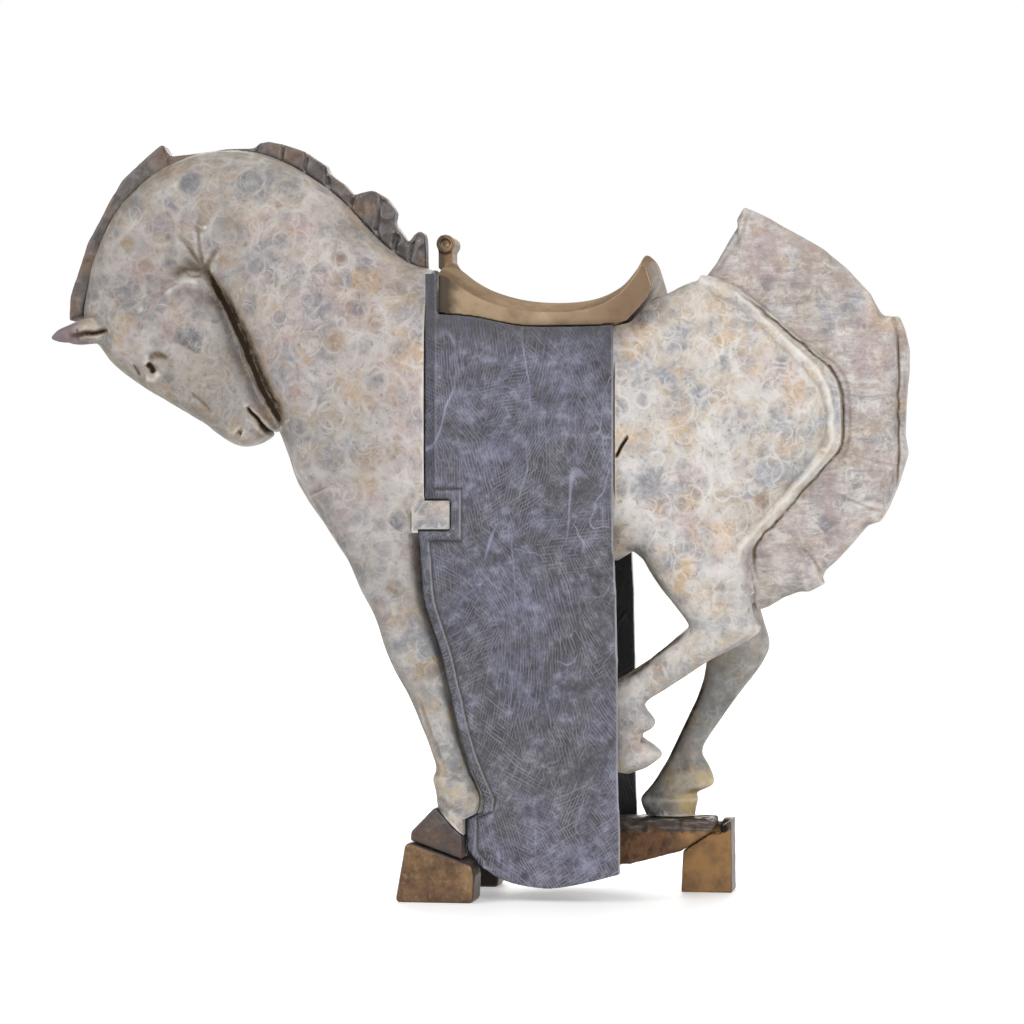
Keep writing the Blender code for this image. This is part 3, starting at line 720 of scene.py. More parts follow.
def mane(material):
    comb = lump("mane_comb", [slab(mane_outline(), -MANE_HALF_WIDTH, MANE_HALF_WIDTH)])
    bevelled(comb, 0.0035, 3)
    baked(comb)
    blend(comb, MANE_VOXEL, 3)
    points, normals = points_of(comb), normals_of(comb)
    lumpy = np.clip((points[:, 0] + 0.125) / 0.03, 0.15, 1) * np.abs(normals[:, 1])
    move = -0.0003 - 0.0030 * pits(points, 0.010, 21) * lumpy
    move -= 0.0003 * pits(points, 0.006, 22)
    for curve, width, depth in MANE_LINES:
        move -= crease(points, normals, curve, width * UNIT, depth * UNIT, 0.0)
    move_points(comb, points + normals * move[:, None])
    mark_hollows(comb)
    finish_piece(comb, "mane", material, 60)


def saddle(material):
    under, rear, over = seat_outline()
    front = under[0][0]
    outline = under + list(map(tuple, rear)) + [(max(x, front), z) for x, z in over]
    half = SADDLE_HALF_WIDTH
    bases = np.interp([x for x, _ in outline], *np.transpose(under))
    rings = []
    for y in np.linspace(-half, half, 33):
        share = abs(y / half) ** 2.4
        rings.append(np.array([(x, y, z - share * side_drop(z, base))
                               for (x, z), base in zip(outline, bases)]))
    seat = lump("saddle_casting", [rings_to_mesh(rings)])
    post = lump("post", [slab(scaled([(-19, 462), (-8, 462), (-15.5, 474), (-16, 490), (-26, 490),
                                      (-26, 469.5), (-19, 466)]), -POMMEL_HALF_WIDTH,
                              POMMEL_HALF_WIDTH)])
    turn = np.linspace(0, 2 * math.pi, 32, endpoint=False)
    roll_radius = 7.05 * UNIT
    middle = (-20.45 * UNIT, 495 * UNIT - roll_radius)
    roll = lump("roll", [slab(circle(middle, roll_radius, turn),
                              -POMMEL_HALF_WIDTH - 0.002, POMMEL_HALF_WIDTH + 0.002)])
    boolean(seat, post, "UNION")
    boolean(seat, roll, "UNION")
    dents = []
    for side in (-1, 1):
        dents.append(slab(circle(middle, POMMEL_DIMPLE, turn[::2]),
                          *sided(side, POMMEL_HALF_WIDTH, POMMEL_HALF_WIDTH + 0.004)))
    dents = lump("dents", dents)
    boolean(seat, dents)
    baked(seat, [post, roll, dents])
    blend(seat, BLOCK_VOXEL, 5)
    mark_hollows(seat)
    finish_piece(seat, "saddle", material, 60)


def panels(material):
    field = panel_left_edge(REVEAL + PANEL_RIM_WIDTH)
    field = [(field[0][0], 0.5)] + field + [(field[-1][0], -0.02), (0.14, -0.02), (0.14, 0.5)]
    for name, side in (("blanket_near", -1), ("blanket_far", 1)):
        panel = lump(name + "_casting",
                     [slab(panel_outline(), *sided(side, PANEL_INNER + GAP, PANEL_FACE))])
        pocket = lump("pocket",
                      [slab(field, *sided(side, PANEL_FACE - PANEL_RIM, PANEL_FACE + 0.01))])
        boolean(panel, pocket)
        baked(panel, [pocket])
        blend(panel, PANEL_VOXEL, 1)
        points, normals = points_of(panel), normals_of(panel)
        move = -0.0003 - 0.00035 * pits(points, 0.018, 31)
        move -= 0.0002 * pits(points, 0.006, 32)
        away, _ = distance_to(points[:, [0, 2]],
                              np.array(panel_left_edge(REVEAL + PANEL_RIM_WIDTH + 0.0008)))
        side_on = np.abs(normals[:, 1]) > 0.3
        move -= 0.0006 * np.exp(-(away / 0.0011) ** 2) * side_on
        move_points(panel, points + normals * move[:, None])
        # Painted shade lines along the inner step of the rim and along the panel's left edge beside
        # the body, stored for the material.
        edge_away, _ = distance_to(points[:, [0, 2]], np.array(panel_left_edge(REVEAL)))
        shade_and_stain = np.exp(-(away / 0.0012) ** 2) + 0.8 * np.exp(-(edge_away / 0.0014) ** 2)
        mark(panel, "shade_and_stain", np.clip(shade_and_stain, 0, 1))
        mark_hollows(panel)
        finish_piece(panel, name, material, 60)


def rough_block(name, node, outline, low, high, material, cutters=(), edge=0.0016,
                rough=0.00035, crust=0.0):
    """Cast block from a side outline in metres, with rubbed edges."""
    made = lump(name, [slab(outline, low, high)])
    helpers = [lump(name + "_cutter", [cutter]) for cutter in cutters]
    for helper in helpers:
        boolean(made, helper)
    baked(made, helpers)
    bevelled(made, edge)
    baked(made)
    blend(made, BLOCK_VOXEL, 2)
    points, normals = points_of(made), normals_of(made)
    move = -0.0002 - rough * pits(points, 0.009, 41)
    move -= 0.4 * rough * pits(points, 0.0035, 42)
    if crust:
        move -= 0.0016 * pits(points * (0.5, 1, 1), 0.0045, 43) * (points[:, 2] > crust)
    move[np.abs(points[:, 2]) < 0.0006] = 0
    move_points(made, points + normals * move[:, None])
    mark_hollows(made)
    finish_piece(made, node, material, 60)
    return made


def base(dark, brown):
    for name, side in (("near", -1), ("far", 1)):
        low, high = sided(side, FOOT_FACE - FOOT_WIDTH, FOOT_FACE)
        foot = scaled([(-48, 0), (11, 0), (12, 20), (10, 28), (-38, 45), (-41, 41)])
        rough_block("foot_block_" + name, "foot_front_" + name, foot,
                    low, high, brown, edge=0.003)
        low, high = sided(side, FOOT_FACE - FOOT_WIDTH, FOOT_FACE - HOOF_SIDE_STEP)
        hoof = scaled([(-36.5, 52), (-37.5, 44), (2, 30), (2, 49), (-19, 70)])
        floor = slab(below_line(FOOT_LINE, GAP), low - 0.01, high + 0.01)
        rough_block("hoof_block_" + name, "hoof_front_" + name, hoof,
                    low, high, dark, [floor])
    beam = scaled([(24, 20), (60, 17), (116, 22), *BEAM_NOSE, (181, 52),
                   (180, BEAM_TOP), (96, BEAM_TOP), (24, 50)])
    rough_block("beam_casting", "base_beam", beam, BEAM_INNER, PANEL_INNER,
                brown, edge=0.003, rough=0.0006, crust=0.047)
    foot = scaled([(152, 0), (191, 0), (190.5, 55), (182, 55), (182, 52), (178, 52),
                   (153.5, 36)])
    start, _, _, end = below_line(BEAM_NOSE, -GAP, 40)
    seat = slab([start, end, (end[0], end[1] + 0.08), (start[0], start[1] + 0.08)],
                0.0, PANEL_INNER + GAP)
    rough_block("rear_foot_block", "foot_rear", foot, REAR_FOOT_INNER,
                REAR_FOOT_INNER + FOOT_WIDTH, brown,
                [block((0.150, 0.182 + GAP), (0, PANEL_INNER + GAP), (0.045, 0.070)), seat],
                edge=0.0009)


# Materials

def new_material(name):
    made = bpy.data.materials.new(name)
    made.use_nodes = True
    tree = made.node_tree
    return made, tree, tree.nodes["Principled BSDF"]


def fill(node, inputs):
    """Sets inputs of a node, each to a value or from the socket of another node."""
    for key, value in inputs.items():
        socket = node.inputs[key]
        if isinstance(value, bpy.types.NodeSocket):
            node.id_data.links.new(value, socket)
        else:
            socket.default_value = value


def add(tree, kind, inputs=None, **settings):
    node = tree.nodes.new(kind)
    for key, value in settings.items():
        setattr(node, key, value)
    fill(node, inputs or {})
    return node


def place(tree):
    return add(tree, "ShaderNodeTexCoord").outputs["Object"]


def stored(tree, name):
    return add(tree, "ShaderNodeAttribute", attribute_name=name).outputs["Fac"]


def hollow(tree):
    return stored(tree, "hollow")


def facing_axes(tree):
    return split(add(tree, "ShaderNodeTexCoord").outputs["Normal"])


# The functions below put their nodes in the tree that their first socket belongs to.

def split(where):
    return add(where.id_data, "ShaderNodeSeparateXYZ", {0: where}).outputs


def vector(operation, first, second):
    return add(first.id_data, "ShaderNodeVectorMath", {0: first, 1: second},
               operation=operation).outputs[0]


def shifted(where, by):
    return vector("ADD", where, by)


def maths(operation, first, second=0.0):
    return add(first.id_data, "ShaderNodeMath", {0: first, 1: second},
               operation=operation).outputs[0]


def times(first, second):
    return maths("MULTIPLY", first, second)


def noise(where, scale, detail=3.0, roughness=0.55, output="Fac"):
    return add(where.id_data, "ShaderNodeTexNoise", {
        "Vector": where, "Scale": scale, "Detail": detail, "Roughness": roughness}).outputs[output]


def cells(where, scale, feature="F1", output="Color"):
    return add(where.id_data, "ShaderNodeTexVoronoi", {"Vector": where, "Scale": scale},
               feature=feature).outputs[output]


def warped(where, scale, amount):
    """Coordinates pushed about by noise, so that cells don't look ruled."""
    centred = vector("SUBTRACT", noise(where, scale, 2.0, 0.5, "Color"), (0.5, 0.5, 0.5))
    sized = add(where.id_data, "ShaderNodeVectorMath", {0: centred, "Scale": amount},
                operation="SCALE").outputs[0]
    return vector("ADD", where, sized)


def spread(value, low, high, to_low=0.0, to_high=1.0):
    return add(value.id_data, "ShaderNodeMapRange", {
        "Value": value, "From Min": low, "From Max": high, "To Min": to_low,
        "To Max": to_high}).outputs["Result"]


def ramp(value, stops, smooth_steps=True):
    node = add(value.id_data, "ShaderNodeValToRGB", {"Fac": value})
    node.color_ramp.interpolation = "EASE" if smooth_steps else "LINEAR"
    points = node.color_ramp.elements
    while len(points) > 1:
        points.remove(points[-1])
    points[0].position, first = stops[0]
    points[0].color = (*first, 1.0)
    for position, colour in stops[1:]:
        points.new(position).color = (*colour, 1.0)
    return node.outputs["Color"]


def mix(share, first, second, kind="MIX"):
    if isinstance(second, tuple):
        second = (*second, 1.0)
    return add(first.id_data, "ShaderNodeMix", {0: share, 6: first, 7: second},
               data_type="RGBA", blend_type=kind).outputs[2]


def mottled(colour, cloud, rows, mask=None):
    """Mixes in paints where a cloud passes soft limits: rows of (from, to, share, paint)."""
    for low, high, share, paint in rows:
        amount = spread(cloud, low, high, 0.0, share)
        colour = mix(amount if mask is None else times(mask, amount), colour, paint)
    return colour


def bump(height, strength, distance, below=None):
    inputs = {"Height": height, "Strength": strength, "Distance": distance}
    if below is not None:
        inputs["Normal"] = below
    return add(height.id_data, "ShaderNodeBump", inputs).outputs["Normal"]


CREAM, PALE, MIST = (0.44, 0.385, 0.31), (0.57, 0.54, 0.505), (0.33, 0.345, 0.365)
SLATE, ROSE = (0.105, 0.12, 0.15), (0.37, 0.285, 0.255)
OCHRE, BROWN = (0.46, 0.30, 0.14), (0.17, 0.11, 0.075)


def dab_layer(where, size, warp, stops, soft=0.22):
    """Round brush dabs about size metres wide: their colours, cover and pale rims."""
    bent = warped(where, 0.7 / size, warp)
    random = add(where.id_data, "ShaderNodeSeparateColor", {0: cells(bent, 1 / size)}).outputs
    away = cells(bent, 1 / size, "F1", "Distance")
    tone = ramp(random[0], stops, False)
    radius = spread(random[1], 0.0, 1.0, 0.42, 0.7)
    inside = maths("SUBTRACT", radius, away)
    cover = times(spread(inside, 0.0, soft), spread(random[2], 0.0, 1.0, 0.25, 1.0))
    rim = spread(maths("ABSOLUTE", inside), 0.008, 0.06, 1.0, 0.0)
    return (tone, cover, rim)


def region(axes, limits):
    """1 inside soft limits of (axis number, from, to) in metres, 0 beyond them."""
    total = None
    for axis, low, high in limits:
        share = spread(axes[axis], low, high)
        total = share if total is None else times(total, share)
    return total


def cream_patina():
    made, tree, shader = new_material("cream_patina_fine")
    where = place(tree)
    axes = split(where)
    broad = noise(where, 14.0, 4.0, 0.6)
    colour = ramp(broad, [(0.35, (0.25, 0.27, 0.3)), (0.44, CREAM), (0.52, PALE),
                          (0.6, (0.46, 0.375, 0.345)), (0.7, (0.34, 0.34, 0.35))])
    layers = [
        (0.035, 0.009, (0.0, 0.0, 0.0), 0.78, 0.32, [
            (0.0, MIST), (0.25, (0.5, 0.475, 0.44)), (0.42, ROSE), (0.55, (0.42, 0.43, 0.44)),
            (0.7, PALE), (0.82, (0.5, 0.39, 0.26)), (0.92, (0.24, 0.25, 0.27)), (1.0, BROWN)]),
        (0.024, 0.007, (0.31, 0.17, 0.23), 0.9, 0.25, [
            (0.0, SLATE), (0.16, (0.27, 0.28, 0.295)), (0.4, (0.52, 0.49, 0.455)),
            (0.6, (0.4, 0.33, 0.3)), (0.75, CREAM), (0.88, OCHRE), (1.0, (0.3, 0.29, 0.29))]),
        (0.015, 0.005, (0.77, 0.53, 0.11), 0.95, 0.35, [
            (0.0, SLATE), (0.22, (0.22, 0.225, 0.24)), (0.42, PALE), (0.66, (0.54, 0.51, 0.47)),
            (0.84, (0.42, 0.31, 0.2)), (1.0, BROWN)])]
    rims = None
    for size, warp, by, weight, soft, stops in layers:
        tone, cover, rim = dab_layer(shifted(where, by), size, warp, stops, soft)
        colour = mix(times(cover, weight), colour, tone)
        rims = rim if rims is None else maths("MAXIMUM", rims, rim)
    rims = times(rims, spread(noise(where, 75.0, 4.0), 0.36, 0.62))
    cool = noise(shifted(where, (3.1, 1.7, 0.4)), 26.0, 5.0, 0.65)
    colour = mix(spread(cool, 0.53, 0.63, 0.0, 0.75), colour, (0.235, 0.245, 0.27))
    warm = noise(shifted(where, (1.3, 4.2, 2.6)), 30.0, 5.0, 0.65)
    colour = mix(spread(warm, 0.55, 0.66, 0.0, 0.75), colour, (0.5, 0.35, 0.2))
    streak = noise(warped(where, 70.0, 0.012), 170.0, 5.0, 0.8)
    colour = mottled(colour, streak, [(0.5, 0.68, 0.5, (0.62, 0.59, 0.55)),
                                      (0.47, 0.3, 0.65, (0.13, 0.125, 0.12))])
    wisp = cells(warped(where, 110.0, 0.009), 125.0, "DISTANCE_TO_EDGE", "Distance")
    wisp = times(spread(wisp, 0.0, 0.07, 1.0, 0.0), spread(noise(where, 50.0, 3.0), 0.42, 0.6))
    pale = maths("MAXIMUM", times(rims, 0.52), times(wisp, 0.35))
    colour = mix(pale, colour, (0.7, 0.67, 0.63))
    tail = stored(tree, "tail")
    colour = mix(tail, colour, (0.9, 0.885, 0.885), "MULTIPLY")
    combed = vector("MULTIPLY", where, (0.45, 1.0, 1.6))
    combed = noise(warped(combed, 40.0, 0.01), 120.0, 6.0, 0.8)
    colour = mottled(colour, combed, [(0.5, 0.34, 0.7, (0.155, 0.15, 0.155)),
                                      (0.54, 0.68, 0.6, (0.6, 0.58, 0.56))], tail)
    rust = noise(shifted(where, (6.1, 0.3, 2.2)), 40.0, 5.0, 0.7)
    colour = mix(times(tail, spread(rust, 0.47, 0.62, 0.0, 0.65)), colour, (0.27, 0.2, 0.18))
    colour = mix(1.0, colour, (0.9, 0.895, 0.915), "MULTIPLY")
    legs = region(axes, [(2, 0.25, 0.19)])
    shade = noise(shifted(where, (2.7, 0.9, 3.8)), 55.0, 5.0, 0.7)
    colour = mottled(colour, shade, [(0.51, 0.63, 0.6, (0.22, 0.235, 0.26)),
                                     (0.46, 0.36, 0.6, (0.42, 0.33, 0.215))], legs)
    front_legs = region(axes, [(0, 0.05, 0.02), (2, 0.3, 0.23)])
    colour = mix(front_legs, colour, (0.86, 0.88, 0.89), "MULTIPLY")
    low = region(axes, [(2, 0.125, 0.095)])
    blotch = noise(shifted(where, (5.2, 1.1, 0.6)), 75.0, 5.0, 0.75)
    colour = mottled(colour, blotch, [(0.52, 0.62, 0.6, (0.135, 0.12, 0.1)),
                                      (0.46, 0.36, 0.55, (0.42, 0.34, 0.2))], low)
    # Painted shade: the front half and the head darker than the haunch, the lower chest darker and
    # cooler, and the far hind leg at half brightness, where less light reaches.
    far_leg = [(0, 0.112, 0.12), (1, 0.004, 0.012), (2, 0.215, 0.185)]
    for limits, shade in (([(0, 0.03, -0.06)], (0.76, 0.73, 0.72)),
                          ([(0, -0.12, -0.19)], (0.78, 0.79, 0.79)),
                          ([(0, -0.03, -0.09), (2, 0.42, 0.32)], (0.88, 0.91, 0.94)),
                          (far_leg, (0.5, 0.51, 0.5))):
        colour = mix(region(axes, limits), colour, shade, "MULTIPLY")
    heel = times(region(axes, [(0, 0.14, 0.158), (1, 0.004, 0.012), (2, 0.1, 0.086)]),
                 spread(warm, 0.42, 0.55, 0.2, 0.8))
    colour = mix(heel, colour, (0.42, 0.3, 0.12))
    facing = facing_axes(tree)
    # Painted shade: dark olive where the surface turns away from the side view, weaker on faces
    # turned to the tail.
    rim = spread(maths("ABSOLUTE", facing[1]), 0.975, 0.55, 0.0, 0.85)
    rim = times(rim, spread(facing[0], 0.75, 0.15, 0.25, 1.0))
    rim = times(rim, spread(noise(where, 38.0, 5.0, 0.7), 0.38, 0.6, 0.2, 1.0))
    colour = mix(rim, colour, (0.11, 0.092, 0.06))
    depth = hollow(tree)
    colour = mottled(colour, depth, [(0.64, 1.0, 0.8, (0.07, 0.045, 0.025)),
                                     (0.4, 0.12, 0.45, (0.68, 0.64, 0.58))])
    # Painted highlight along the raised ridges: the cheek's top edge, the eyelid and the strap.
    ridge_highlight = stored(tree, "ridge_highlight")
    ridge_highlight = times(ridge_highlight, spread(noise(where, 90.0, 4.0), 0.3, 0.6, 0.4, 1.0))
    colour = mix(ridge_highlight, colour, (0.6, 0.565, 0.52))
    # Painted shade darkening the creases and grooves to a near-black core, with some dark marks.
    shade_and_stain = stored(tree, "shade_and_stain")
    shade_and_stain = times(shade_and_stain, spread(noise(where, 130.0, 5.0, 0.7), 0.3, 0.55, 0.72, 1.2))
    colour = mottled(colour, shade_and_stain, [(0.08, 0.45, 0.6, (0.15, 0.1, 0.055)),
                                     (0.36, 0.78, 0.97, (0.018, 0.012, 0.007))])
    tip = spread(maths("ADD", axes[0], times(broad, 0.01)), -0.292, -0.304, 0.0, 0.85)
    tip = times(tip, spread(axes[2], 0.434, 0.43))
    colour = mix(tip, colour, (0.125, 0.085, 0.09))
    speck = spread(noise(where, 330.0, 2.0), 0.67, 0.73, 0.0, 0.5)
    colour = mix(speck, colour, (0.12, 0.105, 0.085))
    rough = spread(noise(where, 80.0, 4.0), 0.3, 0.7, 0.4, 0.6)
    fine = noise(where, 240.0, 5.0, 0.6)
    relief = bump(fine, 0.35, 0.0006)
    relief = bump(pale, 0.2, 0.0004, relief)
    fill(shader, {"Base Color": colour, "Roughness": rough, "Metallic": 0.0,
                  "Specular IOR Level": spread(shade_and_stain, 0.2, 0.7, 0.4, 0.02), "Normal": relief})
    return made


def dark_patina():
    made, tree, shader = new_material("dark_patina_fine")
    where = place(tree)
    patch = noise(where, 60.0, 5.0, 0.65)
    colour = ramp(patch, [(0.25, (0.042, 0.036, 0.035)), (0.5, (0.088, 0.076, 0.074)),
                          (0.72, (0.15, 0.13, 0.124))])
    brown = noise(shifted(where, (2.2, 0.7, 1.9)), 34.0, 4.0)
    colour = mix(spread(brown, 0.5, 0.62, 0.0, 0.7), colour, (0.145, 0.085, 0.05))
    fine = noise(where, 150.0, 5.0, 0.75)
    colour = mottled(colour, fine, [(0.53, 0.7, 0.6, (0.22, 0.2, 0.18)),
                                    (0.47, 0.32, 0.7, (0.035, 0.03, 0.027))])
    edge = spread(hollow(tree), 0.4, 0.05, 0.0, 0.6)
    colour = mix(edge, colour, (0.24, 0.19, 0.16))
    low = spread(split(where)[2], 0.12, 0.09)
    colour = mix(low, colour, (0.68, 0.66, 0.68), "MULTIPLY")
    colour = mix(spread(hollow(tree), 0.62, 0.95, 0.0, 0.8), colour, (0.018, 0.014, 0.012))
    relief = bump(noise(where, 300.0, 5.0, 0.65), 0.35, 0.0006)
    fill(shader, {"Base Color": colour, "Roughness": spread(patch, 0.3, 0.7, 0.36, 0.58),
                  "Metallic": 0.35, "Normal": relief})
    return made


def brown_bronze():
    made, tree, shader = new_material("brown_bronze_fine")
    where = place(tree)
    patch = noise(where, 38.0, 5.0, 0.6)
    colour = ramp(patch, [(0.28, (0.055, 0.032, 0.02)), (0.46, (0.135, 0.08, 0.045)),
                          (0.6, (0.235, 0.14, 0.07)), (0.78, (0.165, 0.112, 0.07))])
    fine = noise(where, 130.0, 5.0, 0.75)
    colour = mottled(colour, fine, [(0.5, 0.32, 0.7, (0.06, 0.04, 0.03)),
                                    (0.54, 0.7, 0.6, (0.33, 0.21, 0.12))])
    facing = add(tree, "ShaderNodeNewGeometry").outputs["Normal"]
    upward = split(facing)[2]
    crust = times(spread(upward, 0.35, 0.8), spread(noise(where, 90.0, 4.0), 0.3, 0.55, 0.4, 1.0))
    colour = mix(crust, colour, (0.105, 0.085, 0.085))
    axes = split(where)
    rear = spread(axes[0], 0.148, 0.156)
    colour = mix(times(rear, spread(patch, 0.4, 0.6, 0.3, 0.9)), colour, (0.3, 0.165, 0.065))
    beam = region(axes, [(0, 0.018, 0.022), (0, 0.16, 0.14)])
    colour = mix(beam, colour, (0.68, 0.6, 0.6), "MULTIPLY")
    ragged = maths("ADD", axes[2], times(noise(where, 110.0, 5.0, 0.7), 0.012))
    colour = mix(spread(ragged, 0.052, 0.0545, 0.0, 0.92), colour, (0.062, 0.05, 0.045))
    flat = vector("MULTIPLY", where, (0.25, 1.0, 3.0))
    ledge = spread(noise(flat, 130.0, 4.0, 0.7), 0.55, 0.64)
    ledge = times(ledge, spread(ragged, 0.053, 0.055))
    colour = mix(times(ledge, 0.7), colour, (0.25, 0.215, 0.19))
    # Painted shade: the inner faces of the front foot blocks painted near black.
    inside = times(spread(maths("ABSOLUTE", axes[1]), 0.0425, 0.04),
                   region(axes, [(0, 0.02, 0.014)]))
    colour = mix(inside, colour, (0.02, 0.015, 0.012))
    # Painted shade: a near-black round spot on the rear foot block's inner face stands for a hole;
    # no hole is cut.
    hole = add(tree, "ShaderNodeVectorMath", {0: where, 1: (0.1845, 0.03, 0.0485)},
               operation="DISTANCE").outputs["Value"]
    colour = mix(spread(hole, 0.004, 0.0026), colour, (0.012, 0.01, 0.009))
    edge = spread(hollow(tree), 0.42, 0.1, 0.0, 0.75)
    colour = mix(edge, colour, (0.1, 0.07, 0.055))
    # Painted shade: faces turned towards the tail darkened.
    backward = facing_axes(tree)[0]
    colour = mix(spread(backward, 0.4, 0.8, 0.0, 0.75), colour, (0.055, 0.04, 0.032))
    relief = bump(noise(where, 240.0, 5.0, 0.65), 0.3, 0.0006)
    fill(shader, {"Base Color": colour, "Roughness": spread(patch, 0.3, 0.7, 0.34, 0.52),
                  "Metallic": 0.75, "Normal": relief})
    return made


def polished_bronze():
    made, tree, shader = new_material("polished_bronze_fine")
    where = place(tree)
    patch = noise(where, 45.0, 4.0, 0.6)
    colour = ramp(patch, [(0.3, (0.22, 0.155, 0.098)), (0.55, (0.325, 0.236, 0.152)),
                          (0.75, (0.42, 0.315, 0.205))])
    axes = split(where)
    # Darker front end by the pommel: partly painted shade where the front curves away, partly the
    # pommel's darker bronze.
    front = spread(maths("ADD", axes[0], times(patch, 0.012)), 0.0015, -0.0065, 0.0, 0.88)
    colour = mix(front, colour, (0.045, 0.034, 0.026))
    rear = spread(axes[0], 0.06, 0.12, 0.0, 0.75)
    colour = mix(rear, colour, (0.165, 0.105, 0.065))
    facing = facing_axes(tree)
    pale = times(spread(facing[0], 0.45, 0.75, 0.0, 0.7), spread(axes[0], 0.095, 0.12))
    colour = mix(pale, colour, (0.21, 0.155, 0.105))
    # Painted highlight: the seat's upward faces below the pommel painted light tan, with roughness
    # raised and metal and gloss lowered there.
    upper = times(spread(facing[2], 0.2, 0.55), spread(axes[2], 0.492, 0.486))
    seat_highlight = noise(where, 26.0, 5.0, 0.7)
    seat_highlight = ramp(seat_highlight, [(0.34, (0.15, 0.1, 0.06)), (0.52, (0.23, 0.16, 0.098)),
                       (0.68, (0.29, 0.205, 0.13))])
    colour = mix(upper, colour, seat_highlight)
    colour = mix(times(spread(hollow(tree), 0.58, 0.9, 0.0, 0.9), spread(axes[2], 0.482, 0.474)),
                 colour, (0.05, 0.03, 0.015))
    post = times(spread(axes[2], 0.468, 0.474), spread(axes[0], -0.0225, -0.0185))
    colour = mix(post, colour, (0.19, 0.12, 0.07))
    # Painted shade along the saddle's lower edge, where it overhangs the cloth.
    colour = mix(spread(axes[2], 0.4285, 0.4235, 0.0, 0.5), colour, (0.06, 0.038, 0.022))
    rough = maths("ADD", spread(patch, 0.3, 0.7, 0.32, 0.46), times(upper, 0.45))
    relief = bump(noise(where, 180.0, 4.0, 0.6), 0.12, 0.0005)
    fill(shader, {"Base Color": colour, "Roughness": rough,
                  "Metallic": spread(upper, 0.0, 1.0, 0.8, 0.2),
                  "Specular IOR Level": spread(upper, 0.0, 1.0, 0.5, 0.02), "Normal": relief})
    return made


def hatch(where, scale, pitch, turn_range):
    """Combed strokes in patches, each patch at its own angle: 1 on a stroke, 0 between."""
    bent = warped(where, 24.0, 0.014)
    tones = add(where.id_data, "ShaderNodeSeparateColor", {0: cells(bent, scale)}).outputs
    turn = spread(tones[0], 0.0, 1.0, *turn_range)
    axes = split(warped(where, 40.0, 0.003))
    across = maths("ADD", times(axes[0], maths("COSINE", turn)),
                   times(axes[2], maths("SINE", turn)))
    along = maths("SUBTRACT", times(axes[2], maths("COSINE", turn)),
                  times(axes[0], maths("SINE", turn)))
    step = times(across, 1 / pitch)
    row = maths("FLOOR", step)
    wave = maths("ABSOLUTE", maths("SUBTRACT", maths("FRACT", step), 0.5))
    stroke = spread(wave, 0.06, 0.26, 1.0, 0.0)
    spot = add(where.id_data, "ShaderNodeCombineXYZ",
               {0: times(row, 7.31), 1: times(along, 55.0), 2: tones[1]}).outputs[0]
    broken = spread(noise(spot, 1.0, 1.0), 0.42, 0.58)
    return times(stroke, broken)


def drawn_lines(where, stretch, seed):
    """Thin pale lines that wander down the cloth, as scratched with a blunt point."""
    bent = shifted(warped(where, 55.0, 0.004), seed)
    tall = vector("MULTIPLY", bent, stretch)
    away = maths("ABSOLUTE", maths("SUBTRACT", noise(tall, 1.0, 1.5, 0.4), 0.5))
    line = spread(away, 0.0015, 0.006, 1.0, 0.0)
    return times(line, spread(noise(bent, 22.0, 3.0), 0.46, 0.58))


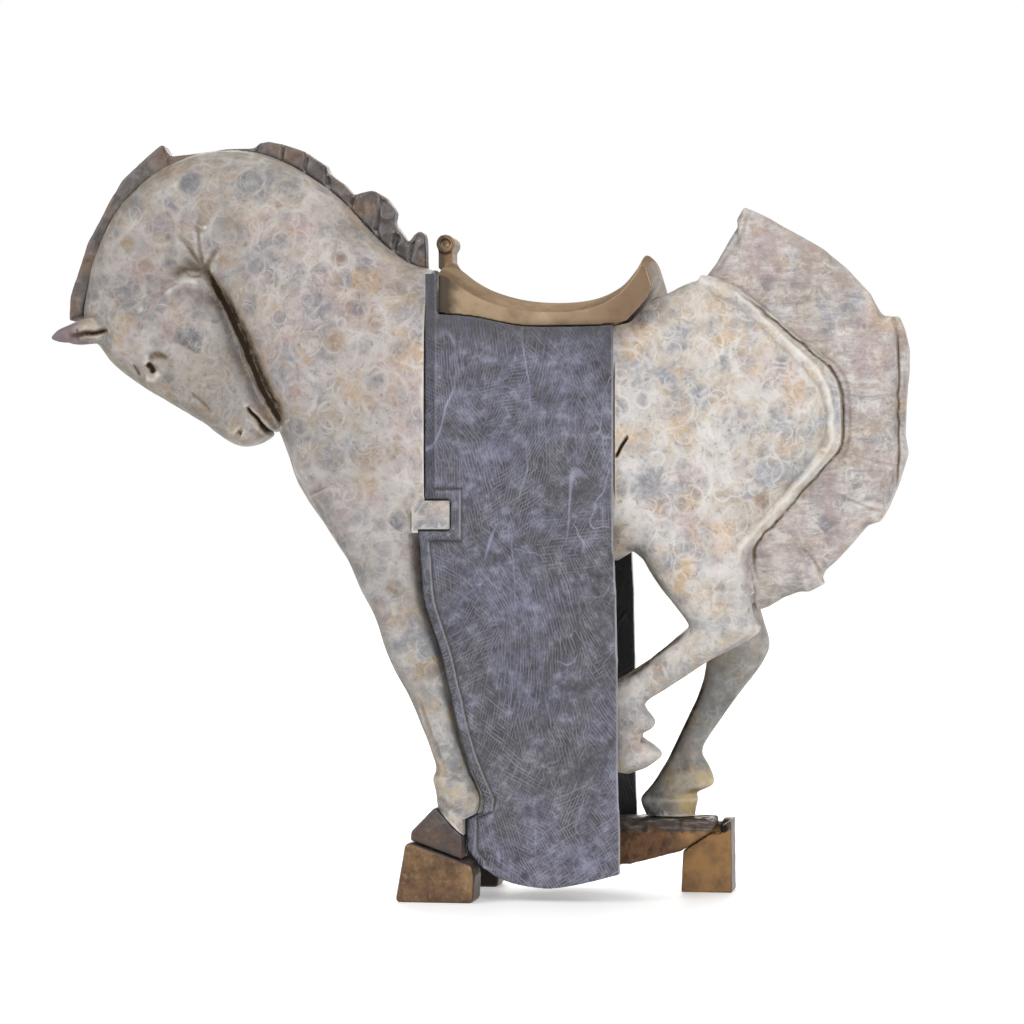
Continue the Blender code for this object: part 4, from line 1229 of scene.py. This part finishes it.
def blue_patina():
    made, tree, shader = new_material("blue_patina_fine")
    where = place(tree)
    axes = split(where)
    patch = noise(where, 15.0, 5.0, 0.62)
    colour = ramp(patch, [(0.32, (0.036, 0.035, 0.038)), (0.44, (0.068, 0.067, 0.08)),
                          (0.55, (0.08, 0.079, 0.112)), (0.72, (0.125, 0.127, 0.192))])
    mottle = noise(where, 85.0, 6.0, 0.8)
    colour = mottled(colour, mottle, [(0.53, 0.38, 0.92, (0.024, 0.023, 0.027)),
                                      (0.53, 0.66, 0.6, (0.24, 0.24, 0.31))])
    fine = hatch(where, 26.0, 0.002, (-0.55, 0.65))
    other = hatch(shifted(where, (0.13, 0.0, 0.21)), 19.0, 0.0025, (-1.5, 1.2))
    strokes = maths("MAXIMUM", fine, times(other, 0.7))
    strokes = times(strokes, spread(noise(where, 24.0, 3.0), 0.36, 0.58, 0.15, 1.0))
    colour = mix(times(strokes, 0.5), colour, (0.29, 0.285, 0.35))
    strip = region(axes, [(0, -0.0192, -0.0204), (2, 0.294, 0.296)])
    colour = mix(strip, colour, (0.52, 0.53, 0.56), "MULTIPLY")
    colour = mix(spread(axes[2], 0.16, 0.08), colour, (1.18, 1.16, 1.12), "MULTIPLY")
    lines = maths("MAXIMUM", drawn_lines(where, (16.0, 1.0, 4.0), (0.4, 0.0, 1.3)),
                  drawn_lines(where, (24.0, 1.0, 15.0), (2.6, 0.0, 0.7)))
    colour = mix(times(lines, 0.4), colour, (0.33, 0.33, 0.47))
    # Painted shade lines along the rim's inner step and the panel's left edge.
    shade_and_stain = stored(tree, "shade_and_stain")
    colour = mix(times(shade_and_stain, 0.95), colour, (0.014, 0.013, 0.015))
    facing = facing_axes(tree)
    # Painted highlight: faces turned towards the tail, such as the panel's right edge, made pale.
    colour = mix(spread(facing[0], 0.25, 0.75, 0.0, 0.7), colour, (0.36, 0.35, 0.37))
    # Painted shade: the panels' inner faces, towards the middle of the figure, painted near black.
    inner = spread(times(facing[1], axes[1]), -0.01, -0.03)
    colour = mix(inner, colour, (0.016, 0.016, 0.018))
    colour = mix(spread(hollow(tree), 0.6, 0.92, 0.0, 0.85), colour, (0.02, 0.018, 0.018))
    # Painted shadow of the saddle: the panel darker towards its top edge.
    colour = mix(spread(axes[2], 0.404, 0.424, 0.0, 0.65), colour, (0.035, 0.033, 0.036))
    corner = region(axes, [(0, 0.07, 0.108), (2, 0.365, 0.405)])
    colour = mix(corner, colour, (0.62, 0.62, 0.6), "MULTIPLY")
    relief = bump(maths("MAXIMUM", strokes, lines), 0.85, 0.0006)
    relief = bump(noise(where, 300.0, 4.0, 0.6), 0.25, 0.0005, relief)
    fill(shader, {"Base Color": colour, "Roughness": spread(patch, 0.3, 0.7, 0.42, 0.6),
                  "Metallic": 0.1, "Normal": relief})
    return made


# Light, floor and camera

WHITE = (1.0, 1.0, 1.0, 1.0)


def studio():
    floor = bpy.data.meshes.new("floor")
    floor.from_pydata([(-9, -9, 0), (9, -9, 0), (9, 9, 0), (-9, 9, 0)], [], [(0, 1, 2, 3)])
    floor = in_scene("floor", floor)
    made, tree, shader = new_material("floor_white")
    away = add(tree, "ShaderNodeVectorMath", {0: place(tree)}, operation="LENGTH")
    fill(shader, {"Base Color": (0.88, 0.88, 0.88, 1.0), "Roughness": 0.45, "Emission Color": WHITE,
                  "Emission Strength": spread(away.outputs["Value"], 0.5, 2.6, 0.26, 0.66)})
    floor.data.materials.append(made)
    world = bpy.data.worlds.new("studio")
    bpy.context.scene.world = world
    world.use_nodes = True
    rays = add(world.node_tree, "ShaderNodeLightPath").outputs
    fill(world.node_tree.nodes["Background"],
         {"Color": WHITE, "Strength": spread(rays["Is Diffuse Ray"], 0.0, 1.0, 1.0, 0.5)})
    bpy.context.scene.view_settings.view_transform = "Standard"
    for name, spot, aim, size, power in (("key", (-1.5, -1.7, 1.6), (0.0, 0.0, 0.3), 1.2, 26.0),
                                         ("fill", (1.7, -1.5, 1.3), (0.1, 0.0, 0.3), 1.2, 26.0),
                                         ("top", (0.2, 0.3, 2.2), (0.0, 0.0, 0.3), 1.6, 14.0),
                                         ("back", (-0.3, 2.1, 1.3), (0.0, 0.0, 0.28), 1.4, 16.0)):
        lamp = bpy.data.lights.new(name, "AREA")
        lamp.shape = "SQUARE"
        lamp.size = size
        lamp.energy = power
        lamp = in_scene(name, lamp)
        lamp.location = spot
        point_at(lamp, aim)


def point_at(item, aim):
    item.rotation_euler = (Vector(aim) - item.location).to_track_quat("-Z", "Y").to_euler()


def camera():
    lens = bpy.data.cameras.new("camera")
    lens.lens = CAMERA_LENS
    lens.sensor_width = 36.0
    eye = in_scene("camera", lens)
    eye.location = (CAMERA_AIM[0] + CAMERA_DISTANCE * math.sin(CAMERA_AZIMUTH),
                    CAMERA_AIM[1] - CAMERA_DISTANCE * math.cos(CAMERA_AZIMUTH), CAMERA_AIM[2])
    point_at(eye, CAMERA_AIM)
    bpy.context.scene.camera = eye


camera()
studio()
dark = dark_patina()
horse(cream_patina())
mane(dark)
saddle(polished_bronze())
panels(blue_patina())
base(dark, brown_bronze())
